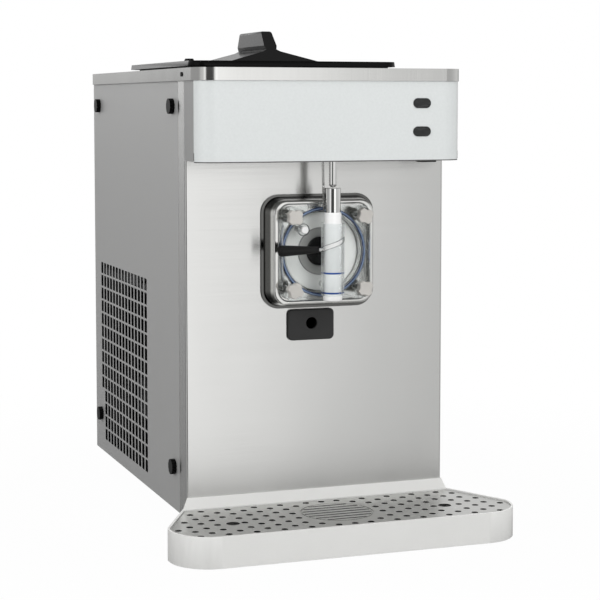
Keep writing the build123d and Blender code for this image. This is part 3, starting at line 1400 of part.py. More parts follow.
export_step(drip_grate.part, "parts/drip_grate.step")

# Beater: shaft, ribbon, arms, spider and front plate
RIBBON_CENTRE = (0, Y0 + RIBBON_Y0, AXIS_Z)
with BuildPart() as beater:
    with BuildSketch(upright(SHAFT_BACK)):
        with Locations((0, AXIS_Z)):
            Circle(SHAFT_D / 2)
    extrude(amount=SHAFT_BACK - HUB_T)
    with BuildLine() as ribbon_path:
        Helix(
            pitch=RIBBON_PITCH,
            height=RIBBON_L,
            radius=RIBBON_R,
            center=RIBBON_CENTRE,
            direction=(0, 1, 0),
        )
    ribbon_start = ribbon_path.line @ 0
    ribbon_out = ribbon_start - Vector(*RIBBON_CENTRE)
    with BuildSketch(Plane(ribbon_start, x_dir=ribbon_out, z_dir=ribbon_path.line % 0)):
        Rectangle(RIBBON_W, RIBBON_T)
    sweep(path=ribbon_path.line, is_frenet=True)
    with BuildSketch(upright(HUB_T)):
        with Locations((0, AXIS_Z)):
            Circle(SPIDER_R)
            Circle(SPIDER_IN, mode=Mode.SUBTRACT)
            Rectangle(2 * SPIDER_IN + SPIDER_T, SPIDER_BAR)
            Rectangle(SPIDER_BAR, 2 * SPIDER_IN + SPIDER_T)
    extrude(amount=-SPIDER_T)
    with BuildSketch(upright(HUB_T)):
        with Locations((0, AXIS_Z)):
            Circle(SPIDER_R)
            Circle(SPIDER_IN, mode=Mode.SUBTRACT)
    extrude(amount=HUB_T + PLATE_Y - PLATE_T)
    with BuildSketch(upright(-PLATE_Y)):
        with Locations((0, AXIS_Z)):
            Circle(PLATE_R)
            Circle(PLATE_HOLE_R, mode=Mode.SUBTRACT)
    extrude(amount=-PLATE_T)
    with BuildSketch(upright(-PLATE_Y)):
        with Locations((0, AXIS_Z)):
            Circle(PLATE_COLLAR_R)
            Circle(PLATE_COLLAR_IN, mode=Mode.SUBTRACT)
    extrude(amount=PLATE_COLLAR_H)
    for arm in range(ARM_COUNT):
        share = (2 * arm + 1) / (2 * ARM_COUNT)
        arm_y = Y0 + RIBBON_Y0 + share * RIBBON_L
        spin = 360 * share * RIBBON_L / RIBBON_PITCH
        with Locations(Location((0, arm_y, AXIS_Z), (0, spin, 0))):
            Cylinder(BEATER_ARM_D / 2, 2 * RIBBON_R)
beater.part.label = "beater"
export_step(beater.part, "parts/beater.step")

# Black front bush on the beater, seen through the door
BUSH_FRONT = SEAT - SPIGOT_L - BUSH_GAP
with BuildPart() as beater_bush:
    with BuildSketch(upright(HUB_T)):
        with Locations((0, AXIS_Z)):
            Circle(SHAFT_D)
    extrude(amount=HUB_T + BUSH_FRONT)
    with BuildSketch(upright(-BUSH_FRONT)):
        with Locations((0, AXIS_Z)):
            Circle(HUB_D / 2)
    extrude(amount=-BUSH_HEAD)
    chamfer(beater_bush.faces().sort_by(Axis.Y)[0].edges(), KNOB_ROUND)
beater_bush.part.label = "beater_bush"
export_step(beater_bush.part, "parts/beater_bush.step")

# Gearbox on the shelf, closed against the back of the cylinder
SHELF_TOP = SHELF_Z + SHELF_T
GEAR_H = AXIS_Z + GEAR_UP - SHELF_TOP
with BuildPart() as gearbox:
    with Locations((0, Y0 + (GEAR_Y0 + GEAR_Y1) / 2, SHELF_TOP + GEAR_H / 2)):
        Box(2 * GEAR_HW, GEAR_Y1 - GEAR_Y0, GEAR_H)
    fillet(gearbox.edges().filter_by(Axis.Z), GEAR_ROUND)
    with BuildSketch(upright(GEAR_Y0)):
        with Locations((0, AXIS_Z)):
            Circle(GEAR_NOSE_R)
    extrude(amount=GEAR_Y0 - CYL_BACK)
    with BuildSketch(upright(CYL_BACK)):
        with Locations((0, AXIS_Z)):
            Circle(SHAFT_HOLE / 2)
    extrude(amount=-(SHAFT_BACK + PANEL_GAP - CYL_BACK), mode=Mode.SUBTRACT)
    with BuildSketch(upright(GEAR_Y1)):
        with Locations((0, AXIS_Z)):
            Circle(INPUT_HOLE / 2)
    extrude(amount=INPUT_IN, mode=Mode.SUBTRACT)
gearbox.part.label = "gearbox"
export_step(gearbox.part, "parts/gearbox.step")

# Shelf across the frame with the belt slot and the motor saddle under it
MOTOR_Z = SHELF_Z - MOTOR_DROP - MOTOR_R
SADDLE_Y0 = MOTOR_Y0 + MOTOR_BELL
SADDLE_Y1 = MOTOR_Y1 - 2 * MOTOR_BELL
with BuildPart() as drive_shelf:
    with BuildSketch(Plane.XY.offset(SHELF_Z)):
        with Locations((0, Y0 + (SHELF_FRONT + SHELF_REAR) / 2)):
            Rectangle(2 * POST_X + POST, SHELF_REAR - SHELF_FRONT)
        with Locations((0, Y0 + (BELT_SLOT_Y0 + BELT_SLOT_Y1) / 2)):
            Rectangle(2 * BELT_SLOT_HW, BELT_SLOT_Y1 - BELT_SLOT_Y0, mode=Mode.SUBTRACT)
    extrude(amount=SHELF_T)
    with Locations((0, Y0 + (SADDLE_Y0 + SADDLE_Y1) / 2, SHELF_Z - MOTOR_DROP)):
        Box(SADDLE_W, SADDLE_Y1 - SADDLE_Y0, 2 * MOTOR_DROP)
    with BuildSketch(upright(SADDLE_Y0)):
        with Locations((0, MOTOR_Z)):
            Circle(MOTOR_R)
    extrude(amount=SADDLE_Y0 - SADDLE_Y1, mode=Mode.SUBTRACT)
drive_shelf.part.label = "drive_shelf"
export_step(drive_shelf.part, "parts/drive_shelf.step")

# Large pulley on the gearbox input shaft
GROOVE_Y = PULLEY_Y + (PULLEY_W - GROOVE_W) / 2
with BuildPart() as driven_pulley:
    with BuildSketch(upright(PULLEY_Y)):
        with Locations((0, AXIS_Z)):
            Circle(PULLEY_BIG_R)
    extrude(amount=-PULLEY_W)
    with BuildSketch(upright(GROOVE_Y)):
        with Locations((0, AXIS_Z)):
            Circle(PULLEY_BIG_R)
            Circle(PULLEY_BIG_R - PULLEY_GROOVE, mode=Mode.SUBTRACT)
    extrude(amount=-GROOVE_W, mode=Mode.SUBTRACT)
    with BuildSketch(upright(PULLEY_Y)):
        with Locations((0, AXIS_Z)):
            Circle(INPUT_D / 2)
    extrude(amount=PULLEY_Y - GEAR_Y1 + INPUT_IN - PANEL_GAP)
driven_pulley.part.label = "driven_pulley"
export_step(driven_pulley.part, "parts/driven_pulley.step")

# Small pulley on the motor shaft
with BuildPart() as motor_pulley:
    with BuildSketch(upright(PULLEY_Y)):
        with Locations((0, MOTOR_Z)):
            Circle(PULLEY_SMALL_R)
    extrude(amount=-PULLEY_W)
    with BuildSketch(upright(GROOVE_Y)):
        with Locations((0, MOTOR_Z)):
            Circle(PULLEY_SMALL_R)
            Circle(PULLEY_SMALL_R - PULLEY_GROOVE, mode=Mode.SUBTRACT)
    extrude(amount=-GROOVE_W, mode=Mode.SUBTRACT)
    with BuildSketch(upright(PULLEY_Y + PULLEY_W)):
        with Locations((0, MOTOR_Z)):
            Circle(MOTOR_SHAFT_D / 2)
    extrude(amount=-(MOTOR_Y0 + MOTOR_IN - PANEL_GAP - PULLEY_Y - PULLEY_W))
motor_pulley.part.label = "motor_pulley"
export_step(motor_pulley.part, "parts/motor_pulley.step")

# Drive belt lying in both grooves
BELT_Y = PULLEY_Y + (PULLEY_W - BELT_W) / 2
BELT_IN_BIG = PULLEY_BIG_R - PULLEY_GROOVE + BELT_GAP
BELT_IN_SMALL = PULLEY_SMALL_R - PULLEY_GROOVE + BELT_GAP
BELT_SIN = (PULLEY_BIG_R - PULLEY_SMALL_R) / (AXIS_Z - MOTOR_Z)
BELT_COS = math.sqrt(1 - BELT_SIN * BELT_SIN)


# Corners of the straight runs for a loop round both pulleys
def belt_runs(big, small):
    return [
        (big * BELT_COS, AXIS_Z + big * BELT_SIN),
        (small * BELT_COS, MOTOR_Z + small * BELT_SIN),
        (-small * BELT_COS, MOTOR_Z + small * BELT_SIN),
        (-big * BELT_COS, AXIS_Z + big * BELT_SIN),
    ]


with BuildPart() as drive_belt:
    with BuildSketch(upright(BELT_Y)):
        with BuildLine():
            Polyline(*belt_runs(BELT_IN_BIG + BELT_T, BELT_IN_SMALL + BELT_T), close=True)
        make_face()
        with Locations((0, AXIS_Z)):
            Circle(BELT_IN_BIG + BELT_T)
        with Locations((0, MOTOR_Z)):
            Circle(BELT_IN_SMALL + BELT_T)
    extrude(amount=-BELT_W)
    with BuildSketch(upright(BELT_Y)):
        with BuildLine():
            Polyline(*belt_runs(BELT_IN_BIG, BELT_IN_SMALL), close=True)
        make_face()
        with Locations((0, AXIS_Z)):
            Circle(BELT_IN_BIG)
        with Locations((0, MOTOR_Z)):
            Circle(BELT_IN_SMALL)
    extrude(amount=-BELT_W, mode=Mode.SUBTRACT)
drive_belt.part.label = "drive_belt"
export_step(drive_belt.part, "parts/drive_belt.step")

# Drive motor hung under the shelf
with BuildPart() as drive_motor:
    with BuildSketch(upright(MOTOR_Y0)):
        with Locations((0, MOTOR_Z)):
            Circle(MOTOR_BELL_R)
    extrude(amount=MOTOR_Y0 - MOTOR_Y1)
    with BuildSketch(upright(MOTOR_Y0 + MOTOR_BELL)):
        with Locations((0, MOTOR_Z)):
            Circle(MOTOR_R)
    extrude(amount=MOTOR_Y0 - MOTOR_Y1 + 2 * MOTOR_BELL)
    with BuildSketch(upright(MOTOR_Y0)):
        with Locations((0, MOTOR_Z)):
            Circle(MOTOR_HOLE / 2)
    extrude(amount=-MOTOR_IN, mode=Mode.SUBTRACT)
drive_motor.part.label = "drive_motor"
export_step(drive_motor.part, "parts/drive_motor.step")

# Sealed compressor on four legs, with its terminal cover and pipe stubs
COMP_Y_AT = Y0 + COMP_Y
LEG_X = COMP_BASE_W / 2 - COMP_LEG_D
LEG_Y = COMP_BASE_L / 2 - COMP_LEG_D
with BuildPart() as compressor:
    with BuildSketch(Plane.XY.offset(COMP_Z0)):
        with Locations((COMP_X, COMP_Y_AT)):
            Circle(COMP_R)
    extrude(amount=COMP_Z1 - COMP_Z0)
    fillet(compressor.faces().sort_by(Axis.Z)[-1].edges(), COMP_DOME)
    with Locations((COMP_X, COMP_Y_AT, COMP_Z0 - COMP_BASE_T / 2)):
        Box(COMP_BASE_W, COMP_BASE_L, COMP_BASE_T)
    with BuildSketch(Plane.XY.offset(PAN_FLOOR)):
        with Locations((COMP_X, COMP_Y_AT)):
            with GridLocations(2 * LEG_X, 2 * LEG_Y, 2, 2):
                Circle(COMP_LEG_D / 2)
    extrude(amount=COMP_Z0 - PAN_FLOOR - COMP_BASE_T)
    with Locations((COMP_X - COMP_R, COMP_Y_AT, COMP_BOX_Z - COMP_BOX_H / 2)):
        Box(2 * COMP_BOX_T, COMP_BOX_W, COMP_BOX_H)
    with BuildSketch(Plane.XY.offset(COMP_Z1 - COMP_DOME)):
        with Locations((SUCTION_X, Y0 + SUCTION_Y), (DISCHARGE_X, Y0 + DISCHARGE_Y)):
            Circle(STUB_R)
    extrude(amount=STUB_Z - COMP_Z1 + COMP_DOME)
compressor.part.label = "compressor"
export_step(compressor.part, "parts/compressor.step")

# Finned condenser behind the right side vents
COND_MID_X = (COND_X0 + COND_X1) / 2
COND_MID_Y = Y0 + (COND_Y0 + COND_Y1) / 2
COND_H = COND_Z1 - PAN_FLOOR
COND_W = COND_X1 - COND_X0
COND_L = COND_Y1 - COND_Y0
FIN_PITCH = (COND_L - FIN_T) / (FIN_COUNT - 1)
with BuildPart() as condenser:
    with Locations((COND_MID_X, COND_MID_Y, PAN_FLOOR + COND_H / 2)):
        with GridLocations(COND_W, FIN_PITCH, 1, FIN_COUNT):
            Box(COND_W, FIN_T, COND_H)
    with BuildSketch(upright(COND_Y0)):
        with Locations((COND_MID_X, PAN_FLOOR + COND_H / 2)):
            with GridLocations(COND_W / 2, COND_H / COND_TUBE_ROWS, 2, COND_TUBE_ROWS):
                Circle(COND_TUBE_D / 2)
    extrude(amount=-COND_L)
    with Locations((COND_MID_X, COND_MID_Y, COND_Z1 - FIN_T / 2)):
        Box(COND_W, COND_L, FIN_T)
condenser.part.label = "condenser"
export_step(condenser.part, "parts/condenser.step")

# Fan shroud closed against the condenser
SHROUD_D = COND_X0 - SHROUD_X
with BuildPart() as fan_shroud:
    with Locations((SHROUD_X + SHROUD_D / 2, COND_MID_Y, PAN_FLOOR + COND_H / 2)):
        Box(SHROUD_D, COND_L, COND_H)
    with Locations((SHROUD_X + SHROUD_T + SHROUD_D / 2, COND_MID_Y, PAN_FLOOR + COND_H / 2)):
        Box(SHROUD_D, COND_L - 2 * SHROUD_T, COND_H - 2 * SHROUD_T, mode=Mode.SUBTRACT)
    with BuildSketch(Plane.YZ.offset(SHROUD_X)):
        with Locations((Y0 + FAN_Y, FAN_Z)):
            Circle(FAN_HOLE_R)
    extrude(amount=SHROUD_T, mode=Mode.SUBTRACT)
fan_shroud.part.label = "fan_shroud"
export_step(fan_shroud.part, "parts/fan_shroud.step")

# Axial fan turning in the shroud
FAN_MID_R = (FAN_R + FAN_HUB_R / 2) / 2
FAN_BLADE_L = FAN_R - FAN_HUB_R / 2 + FAN_BLADE_T
FMOTOR_X1 = FAN_X - FAN_HUB_L / 2 - FMOTOR_GAP
with BuildPart() as condenser_fan:
    for blade in range(FAN_BLADES):
        turn = 360 * blade / FAN_BLADES
        spot_y = Y0 + FAN_Y - FAN_MID_R * math.sin(math.radians(turn))
        spot_z = FAN_Z + FAN_MID_R * math.cos(math.radians(turn))
        with Locations(Location((FAN_X, spot_y, spot_z), (turn, 0, FAN_PITCH))):
            Box(FAN_BLADE_T, FAN_BLADE_W, FAN_BLADE_L)
    with Locations(Location((FAN_X, Y0 + FAN_Y, FAN_Z), (0, 90, 0))):
        Cylinder(FAN_R, FAN_BLADE_W, mode=Mode.INTERSECT)
        Cylinder(FAN_HUB_R, FAN_HUB_L)
    with BuildSketch(Plane.YZ.offset(FAN_X)):
        with Locations((Y0 + FAN_Y, FAN_Z)):
            Circle(FAN_SHAFT_D / 2)
    extrude(amount=-(FAN_HUB_L + FMOTOR_GAP + FMOTOR_L / 4))
condenser_fan.part.label = "condenser_fan"
export_step(condenser_fan.part, "parts/condenser_fan.step")

# Fan motor on a bar bracket fixed to the shroud
FBAR_H = 2 * FAN_HOLE_R + 2 * FBAR_T + FBAR_W
FLEG_Z = FAN_HOLE_R + FBAR_T + FBAR_W / 4
FLEG_L = SHROUD_X - FMOTOR_X1
with BuildPart() as fan_motor:
    with BuildSketch(Plane.YZ.offset(FMOTOR_X1)):
        with Locations((Y0 + FAN_Y, FAN_Z)):
            Circle(FMOTOR_R)
    extrude(amount=-FMOTOR_L)
    with Locations((FMOTOR_X1 - FBAR_T / 2, Y0 + FAN_Y, FAN_Z)):
        Box(FBAR_T, FBAR_W, FBAR_H)
    with Locations(
        (FMOTOR_X1 + FLEG_L / 2, Y0 + FAN_Y, FAN_Z + FLEG_Z),
        (FMOTOR_X1 + FLEG_L / 2, Y0 + FAN_Y, FAN_Z - FLEG_Z),
    ):
        Box(FLEG_L, FBAR_W, FBAR_T)
    with BuildSketch(Plane.YZ.offset(FMOTOR_X1)):
        with Locations((Y0 + FAN_Y, FAN_Z)):
            Circle(FAN_SHAFT_D / 2 + PANEL_GAP)
    extrude(amount=-FMOTOR_L / 2, mode=Mode.SUBTRACT)
fan_motor.part.label = "fan_motor"
export_step(fan_motor.part, "parts/fan_motor.step")

# Electrical box behind the front panel, open at the back
BOX_H = BOX_Z1 - PAN_FLOOR
with BuildPart() as electrical_box:
    with Locations(((BOX_X0 + BOX_X1) / 2, Y0 + (BOX_Y0 + BOX_Y1) / 2, PAN_FLOOR + BOX_H / 2)):
        Box(BOX_X1 - BOX_X0, BOX_Y1 - BOX_Y0, BOX_H)
    with Locations(((BOX_X0 + BOX_X1) / 2, Y0 + (BOX_Y0 + BOX_Y1) / 2 + BOX_T, PAN_FLOOR + BOX_H / 2)):
        Box(BOX_X1 - BOX_X0 - 2 * BOX_T, BOX_Y1 - BOX_Y0, BOX_H - 2 * BOX_T, mode=Mode.SUBTRACT)
electrical_box.part.label = "electrical_box"
export_step(electrical_box.part, "parts/electrical_box.step")

# Cord gland in the rear panel
with BuildPart() as power_gland:
    with BuildSketch(upright(CAB_D)):
        with Locations((GLAND_X, GLAND_Z)):
            Circle(GLAND_D / 2)
    extrude(amount=-GLAND_OUT)
    with BuildSketch(upright(CAB_D)):
        with Locations((GLAND_X, GLAND_Z)):
            Circle(GLAND_HOLE / 2)
    extrude(amount=GLAND_IN)
    with BuildSketch(upright(CAB_D - SHEET - PANEL_GAP)):
        with Locations((GLAND_X, GLAND_Z)):
            RegularPolygon(GLAND_D / 2, POLY_SIDES)
    extrude(amount=GLAND_IN / 2)
    with BuildSketch(upright(CAB_D + GLAND_OUT)):
        with Locations((GLAND_X, GLAND_Z)):
            Circle(GLAND_BORE / 2)
    extrude(amount=GLAND_OUT + GLAND_IN, mode=Mode.SUBTRACT)
power_gland.part.label = "power_gland"
export_step(power_gland.part, "parts/power_gland.step")

# Suction and discharge pipes of the compressor
with BuildPart() as refrigerant_lines:
    with BuildLine() as suction_path:
        FilletPolyline(
            (-SUCTION_R, Y0 + JACKET_Y1, AXIS_Z),
            (-SUCTION_R, Y0 + SUCTION_Y, AXIS_Z),
            (SUCTION_X, Y0 + SUCTION_Y, AXIS_Z),
            (SUCTION_X, Y0 + SUCTION_Y, STUB_Z),
            radius=LINE_BEND,
        )
    with BuildSketch(upright(JACKET_Y1)):
        with Locations((-SUCTION_R, AXIS_Z)):
            Circle(LINE_R - SHEET)
    sweep(path=suction_path.line)
    with BuildLine() as discharge_path:
        FilletPolyline(
            (DISCHARGE_X, Y0 + DISCHARGE_Y, STUB_Z),
            (DISCHARGE_X, Y0 + DISCHARGE_Y, DISCHARGE_UP),
            (COND_MID_X, Y0 + DISCHARGE_Y, DISCHARGE_UP),
            (COND_MID_X, Y0 + DISCHARGE_Y, COND_Z1),
            radius=LINE_BEND,
        )
    with BuildSketch(Plane.XY.offset(STUB_Z)):
        with Locations((DISCHARGE_X, Y0 + DISCHARGE_Y)):
            Circle(LINE_R)
    sweep(path=discharge_path.line)
refrigerant_lines.part.label = "refrigerant_lines"
export_step(refrigerant_lines.part, "parts/refrigerant_lines.step")
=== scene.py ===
import math

import bmesh
import bpy
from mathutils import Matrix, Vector


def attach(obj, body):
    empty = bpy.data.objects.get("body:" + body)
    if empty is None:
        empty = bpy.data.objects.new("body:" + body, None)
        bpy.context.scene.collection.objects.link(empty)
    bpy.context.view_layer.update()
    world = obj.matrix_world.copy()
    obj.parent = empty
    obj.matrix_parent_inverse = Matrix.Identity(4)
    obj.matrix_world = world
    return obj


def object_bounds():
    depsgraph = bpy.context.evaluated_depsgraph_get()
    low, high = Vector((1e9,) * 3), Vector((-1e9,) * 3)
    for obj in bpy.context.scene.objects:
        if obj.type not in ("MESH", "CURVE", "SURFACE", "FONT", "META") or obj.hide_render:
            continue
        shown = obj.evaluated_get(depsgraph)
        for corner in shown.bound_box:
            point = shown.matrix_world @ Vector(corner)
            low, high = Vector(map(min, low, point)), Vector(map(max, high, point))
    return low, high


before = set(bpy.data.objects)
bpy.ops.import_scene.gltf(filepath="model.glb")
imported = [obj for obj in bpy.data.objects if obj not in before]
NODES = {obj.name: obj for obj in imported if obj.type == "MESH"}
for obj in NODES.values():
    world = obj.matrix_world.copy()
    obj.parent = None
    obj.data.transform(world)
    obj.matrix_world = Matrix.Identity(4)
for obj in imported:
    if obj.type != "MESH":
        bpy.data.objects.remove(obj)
CAD_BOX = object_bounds()
MM = 0.001

# Camera at the viewing angle of the photograph
CAMERA_PLACE = (-0.8672, -2.53725, 0.6271)
CAMERA_TILT = 85.431
CAMERA_YAW = -19.803
CAMERA_LENS = 102.614
CAMERA_SHIFT = -0.1

# Tones that shiny surfaces mirror, each at its bearing in degrees to the right of straight in front.
# The heights between which they fade into one another are those of a direction one unit long.
LEVEL_TONES = [
    (-180, 0.30), (-170, 0.52), (-166, 0.56), (-163.5, 0.42), (-150, 0.41), (-86, 0.41), (-73, 0.68),
    (-60, 0.74), (-54, 1.20), (-47, 1.20), (-43, 0.07), (-5, 0.07), (1, 0.90), (5, 1.60), (16, 1.60),
    (20, 1.12), (25, 0.81), (32, 0.56), (60, 0.62), (100, 0.80), (128, 0.60), (140, 0.10), (180, 0.30),
]
UPPER_TONES = [
    (-180, 1.00), (-174, 2.30), (-164, 2.30), (-157, 1.90), (-150, 0.48), (-86, 0.45), (-73, 0.70),
    (-60, 0.74), (-54, 1.15), (-47, 1.10), (-43, 0.15), (-5, 0.15), (1, 0.75), (5, 1.15), (16, 1.05),
    (20, 0.94), (25, 0.78), (32, 0.60), (60, 0.65), (100, 0.80), (128, 0.60), (150, 0.70), (180, 1.00),
]
HIGH_TONES = [
    (-180, 1.20), (-130, 1.20), (-105, 0.20), (60, 0.16), (110, 0.50), (150, 0.90), (180, 1.20),
]
LEVEL_HEIGHT = 0.02
UPPER_HEIGHT = 0.09
HIGH_FROM = 0.28
HIGH_TO = 0.45
DOME_FROM = 0.75
DOME_TO = 0.92
DOME_TONE = 0.85
FALL_FROM = 0.0
FALL_TO = -0.26
FALL_LOW = 0.58

# Plain light from all round
AMBIENT = 0.62

# Each light's place and size in metres, and its watts
LIGHTS = {
    "front_light": ((0.5, -3.2, 1.7), (2.2, 1.8), 62.0),
    "top_light": ((0.0, -0.4, 3.2), (2.4, 2.4), 30.0),
    "left_light": ((-3.0, -0.5, 1.9), (1.8, 1.8), 42.0),
    "back_light": ((1.4, 3.0, 1.6), (2.0, 2.0), 22.0),
}
LIGHTS_AIM = (0.0, 0.0, 0.35)

# Floor: its size, the distances between which it fades to white, its share of white under the object, the
# tone on which shadows fall, and its drop below the feet
FLOOR_SIZE = 30.0
FLOOR_FADE_FROM = 0.45
FLOOR_FADE_TO = 1.1
FLOOR_NEAR = 0.98
FLOOR_GREY = 0.40
FLOOR_DROP = 0.0002

# Places in the object's frame where painted shade begins, in metres: the inner face of the rear panel, the
# floor of the tray's well, the folded sides of the front panel and the side walls behind the door surround's
# rim
INNER_SHADE_FROM = 0.3622
INNER_SHADE_TO = 0.3628
WELL_FROM = 0.030
WELL_TO = 0.034
RETURN_FROM = 0.1994
RETURN_TO = 0.1998
RIM_FROM = -0.2255
RIM_TO = -0.2215

# Height of the freezing cylinder's axis, with the reach of its seal ring and of the beater's collar from it,
# in millimetres
AXIS_HEIGHT = 413.0
RING_INNER = 60.2
RING_OUTER = 65.0
COLLAR_INNER = 16.0
COLLAR_OUTER = 40.0

# Draw valve and the slot of its lever, in millimetres
VALVE_X = 1.5
VALVE_Y = -262.75
TUBE_REACH = 16.6
SLOT_SWING = 150.0
SLOT_RISE = 15.0
SLOT_LOW = 419.0
SLOT_HALF = 3.2
SLOT_END_STEPS = 12
SLOT_SIDE_STEPS = 20
SLOT_RIM = 0.32

# Boss of the prime plug on the clear door, in millimetres
BOSS_X = -37.0
BOSS_Z = 447.0
BOSS_FRONT = -248.6
BOSS_BACK = -244.9
BOSS_RIM_REACH = 8.3
BOSS_ROOT_REACH = 8.6
BOSS_RIM = 0.35
BOSS_ROOT = 0.40

# Header, in millimetres
HEADER_HALF = 202.4
HEADER_FRONT = -272.75
HEADER_ROUND = 30.0
HEADER_ROUND_STEPS = 12
HEADER_LOW = 546.0
EDGE_INSET = 1.0
EDGE_BACK = -251.0
EDGE_WIDE = 1.6
EDGE_DROP = -1.5
EDGE_TOP = 0.1
GAP_X = 200.6
GAP_Y = -251.9
GAP_LOW = 547.0
GAP_HIGH = 558.0
GAP_WIDE = 1.2

# Lip of the rocker switch's frame, in millimetres
LIP_LEFT = 148.6
LIP_RIGHT = 171.4
LIP_FRONT = -241.0
LIP_BACK = -224.5
LIP_TOP = 544.0
LIP_WIDE = 1.5
LIP_DROP = -2.6

# Four hand knobs of the door
KNOBS = [f"door_knob_{number}" for number in range(1, 5)]

# Distance at which the points of a mesh are joined, in metres
WELD_REACH = 0.00001

# Upward share of a direction from which a path counts as upright
STEEP = 0.95

# Places of the colours on a node that fades one into another
FIRST_COLOUR = 6
SECOND_COLOUR = 7
FADED_COLOUR = 2


def shade(colour, factor):
    """A colour made lighter or darker."""
    return tuple(min(1.0, part * factor) for part in colour)


def grey(level):
    """A grey with the same level of red, green and blue."""
    return (level, level, level)


def opaque(colour):
    """A colour with full cover."""
    return (*colour, 1.0)


class Tree:
    """The nodes of a material or of the world, with short ways to add and join them."""

    def __init__(self, owner):
        owner.use_nodes = True
        self.nodes = owner.node_tree.nodes
        self.links = owner.node_tree.links

    def feed(self, value, socket):
        """A constant set on a socket, or the output of another node joined to it."""
        if isinstance(value, bpy.types.NodeSocket):
            self.links.new(value, socket)
        else:
            socket.default_value = value

    def add(self, kind, **inputs):
        """A new node with its inputs fed by name."""
        node = self.nodes.new(kind)
        for name, value in inputs.items():
            self.feed(value, node.inputs[name.replace("_", " ")])
        return node

    def operate(self, kind, operation, values):
        """A new node for one operation, with its inputs fed in their order."""
        node = self.add(kind)
        node.operation = operation
        for value, socket in zip(values, node.inputs):
            self.feed(value, socket)
        return node

    def number(self, operation, *values):
        """The number that an operation gives."""
        return self.operate("ShaderNodeMath", operation, values).outputs["Value"]

    def vector(self, operation, *values):
        """The vector that an operation gives."""
        return self.operate("ShaderNodeVectorMath", operation, values).outputs["Vector"]

    def length(self, vector):
        """The length of a vector."""
        return self.operate("ShaderNodeVectorMath", "LENGTH", [vector]).outputs["Value"]

    def part(self, vector, axis):
        """One part of a vector."""
        return self.add("ShaderNodeSeparateXYZ", Vector=vector).outputs[axis]

    def span(self, value, low, high, start=0.3, end=0.7):
        """The value brought from start..end to low..high."""
        ranged = self.add("ShaderNodeMapRange", Value=value, From_Min=start, From_Max=end, To_Min=low,
                          To_Max=high)
        return ranged.outputs["Result"]

    def ramp(self, value, *stops):
        """Colours at places between 0 and 1."""
        ramp = self.add("ShaderNodeValToRGB", Fac=value)
        points = ramp.color_ramp.elements
        while len(points) < len(stops):
            points.new(0.5)
        for point, (place, colour) in zip(points, stops):
            point.position = place
            point.color = opaque(colour)
        return ramp.outputs["Color"]

    def mix(self, share, first, second):
        """One colour faded into another."""
        fade = self.add("ShaderNodeMix")
        fade.data_type = "RGBA"
        self.feed(share, fade.inputs["Factor"])
        self.feed(first, fade.inputs[FIRST_COLOUR])
        self.feed(second, fade.inputs[SECOND_COLOUR])
        return fade.outputs[FADED_COLOUR]

    def blend(self, share, first, second):
        """One shader faded into another."""
        fade = self.add("ShaderNodeMixShader", Fac=share)
        self.feed(first, fade.inputs[1])
        self.feed(second, fade.inputs[2])
        return fade.outputs["Shader"]

    def surface(self, shader):
        """The shader that the material shows."""
        self.feed(shader, self.nodes["Material Output"].inputs["Surface"])


class Paint(Tree):
    """A material under construction around one surface shader."""

    def __init__(self, name, metallic=0.0, **constants):
        self.material = bpy.data.materials.new(name)
        super().__init__(self.material)
        self.shader = self.nodes["Principled BSDF"]
        self.shader.inputs["Metallic"].default_value = metallic
        for socket, value in constants.items():
            self.shader.inputs[socket.replace("_", " ")].default_value = value
        self.place = self.add("ShaderNodeTexCoord").outputs["Object"]

    def noise(self, scale, detail):
        """Noise in features per metre, with one scale or with its own along X, Y and Z."""
        scales = scale if isinstance(scale, tuple) else (scale, scale, scale)
        spread = self.add("ShaderNodeMapping", Vector=self.place, Scale=scales)
        cloud = self.add("ShaderNodeTexNoise", Vector=spread.outputs["Vector"], Scale=1.0, Detail=detail)
        return cloud.outputs["Fac"]

    def facing(self, axis):
        """One part of the direction in which the surface looks."""
        return self.part(self.add("ShaderNodeNewGeometry").outputs["True Normal"], axis)

    def colour(self, output):
        """What colours the surface."""
        self.feed(output, self.shader.inputs["Base Color"])

    def rough(self, output):
        """What makes the surface rough."""
        self.feed(output, self.shader.inputs["Roughness"])

    def bump(self, height, strength, depth):
        """Fine relief, with its depth in metres."""
        relief = self.add("ShaderNodeBump", Strength=strength, Distance=depth, Height=height)
        self.feed(relief.outputs["Normal"], self.shader.inputs["Normal"])


# Features per metre of a fine grain along each axis
GRAIN = {"X": (5.0, 700.0, 700.0), "Y": (700.0, 5.0, 700.0), "Z": (700.0, 700.0, 5.0)}


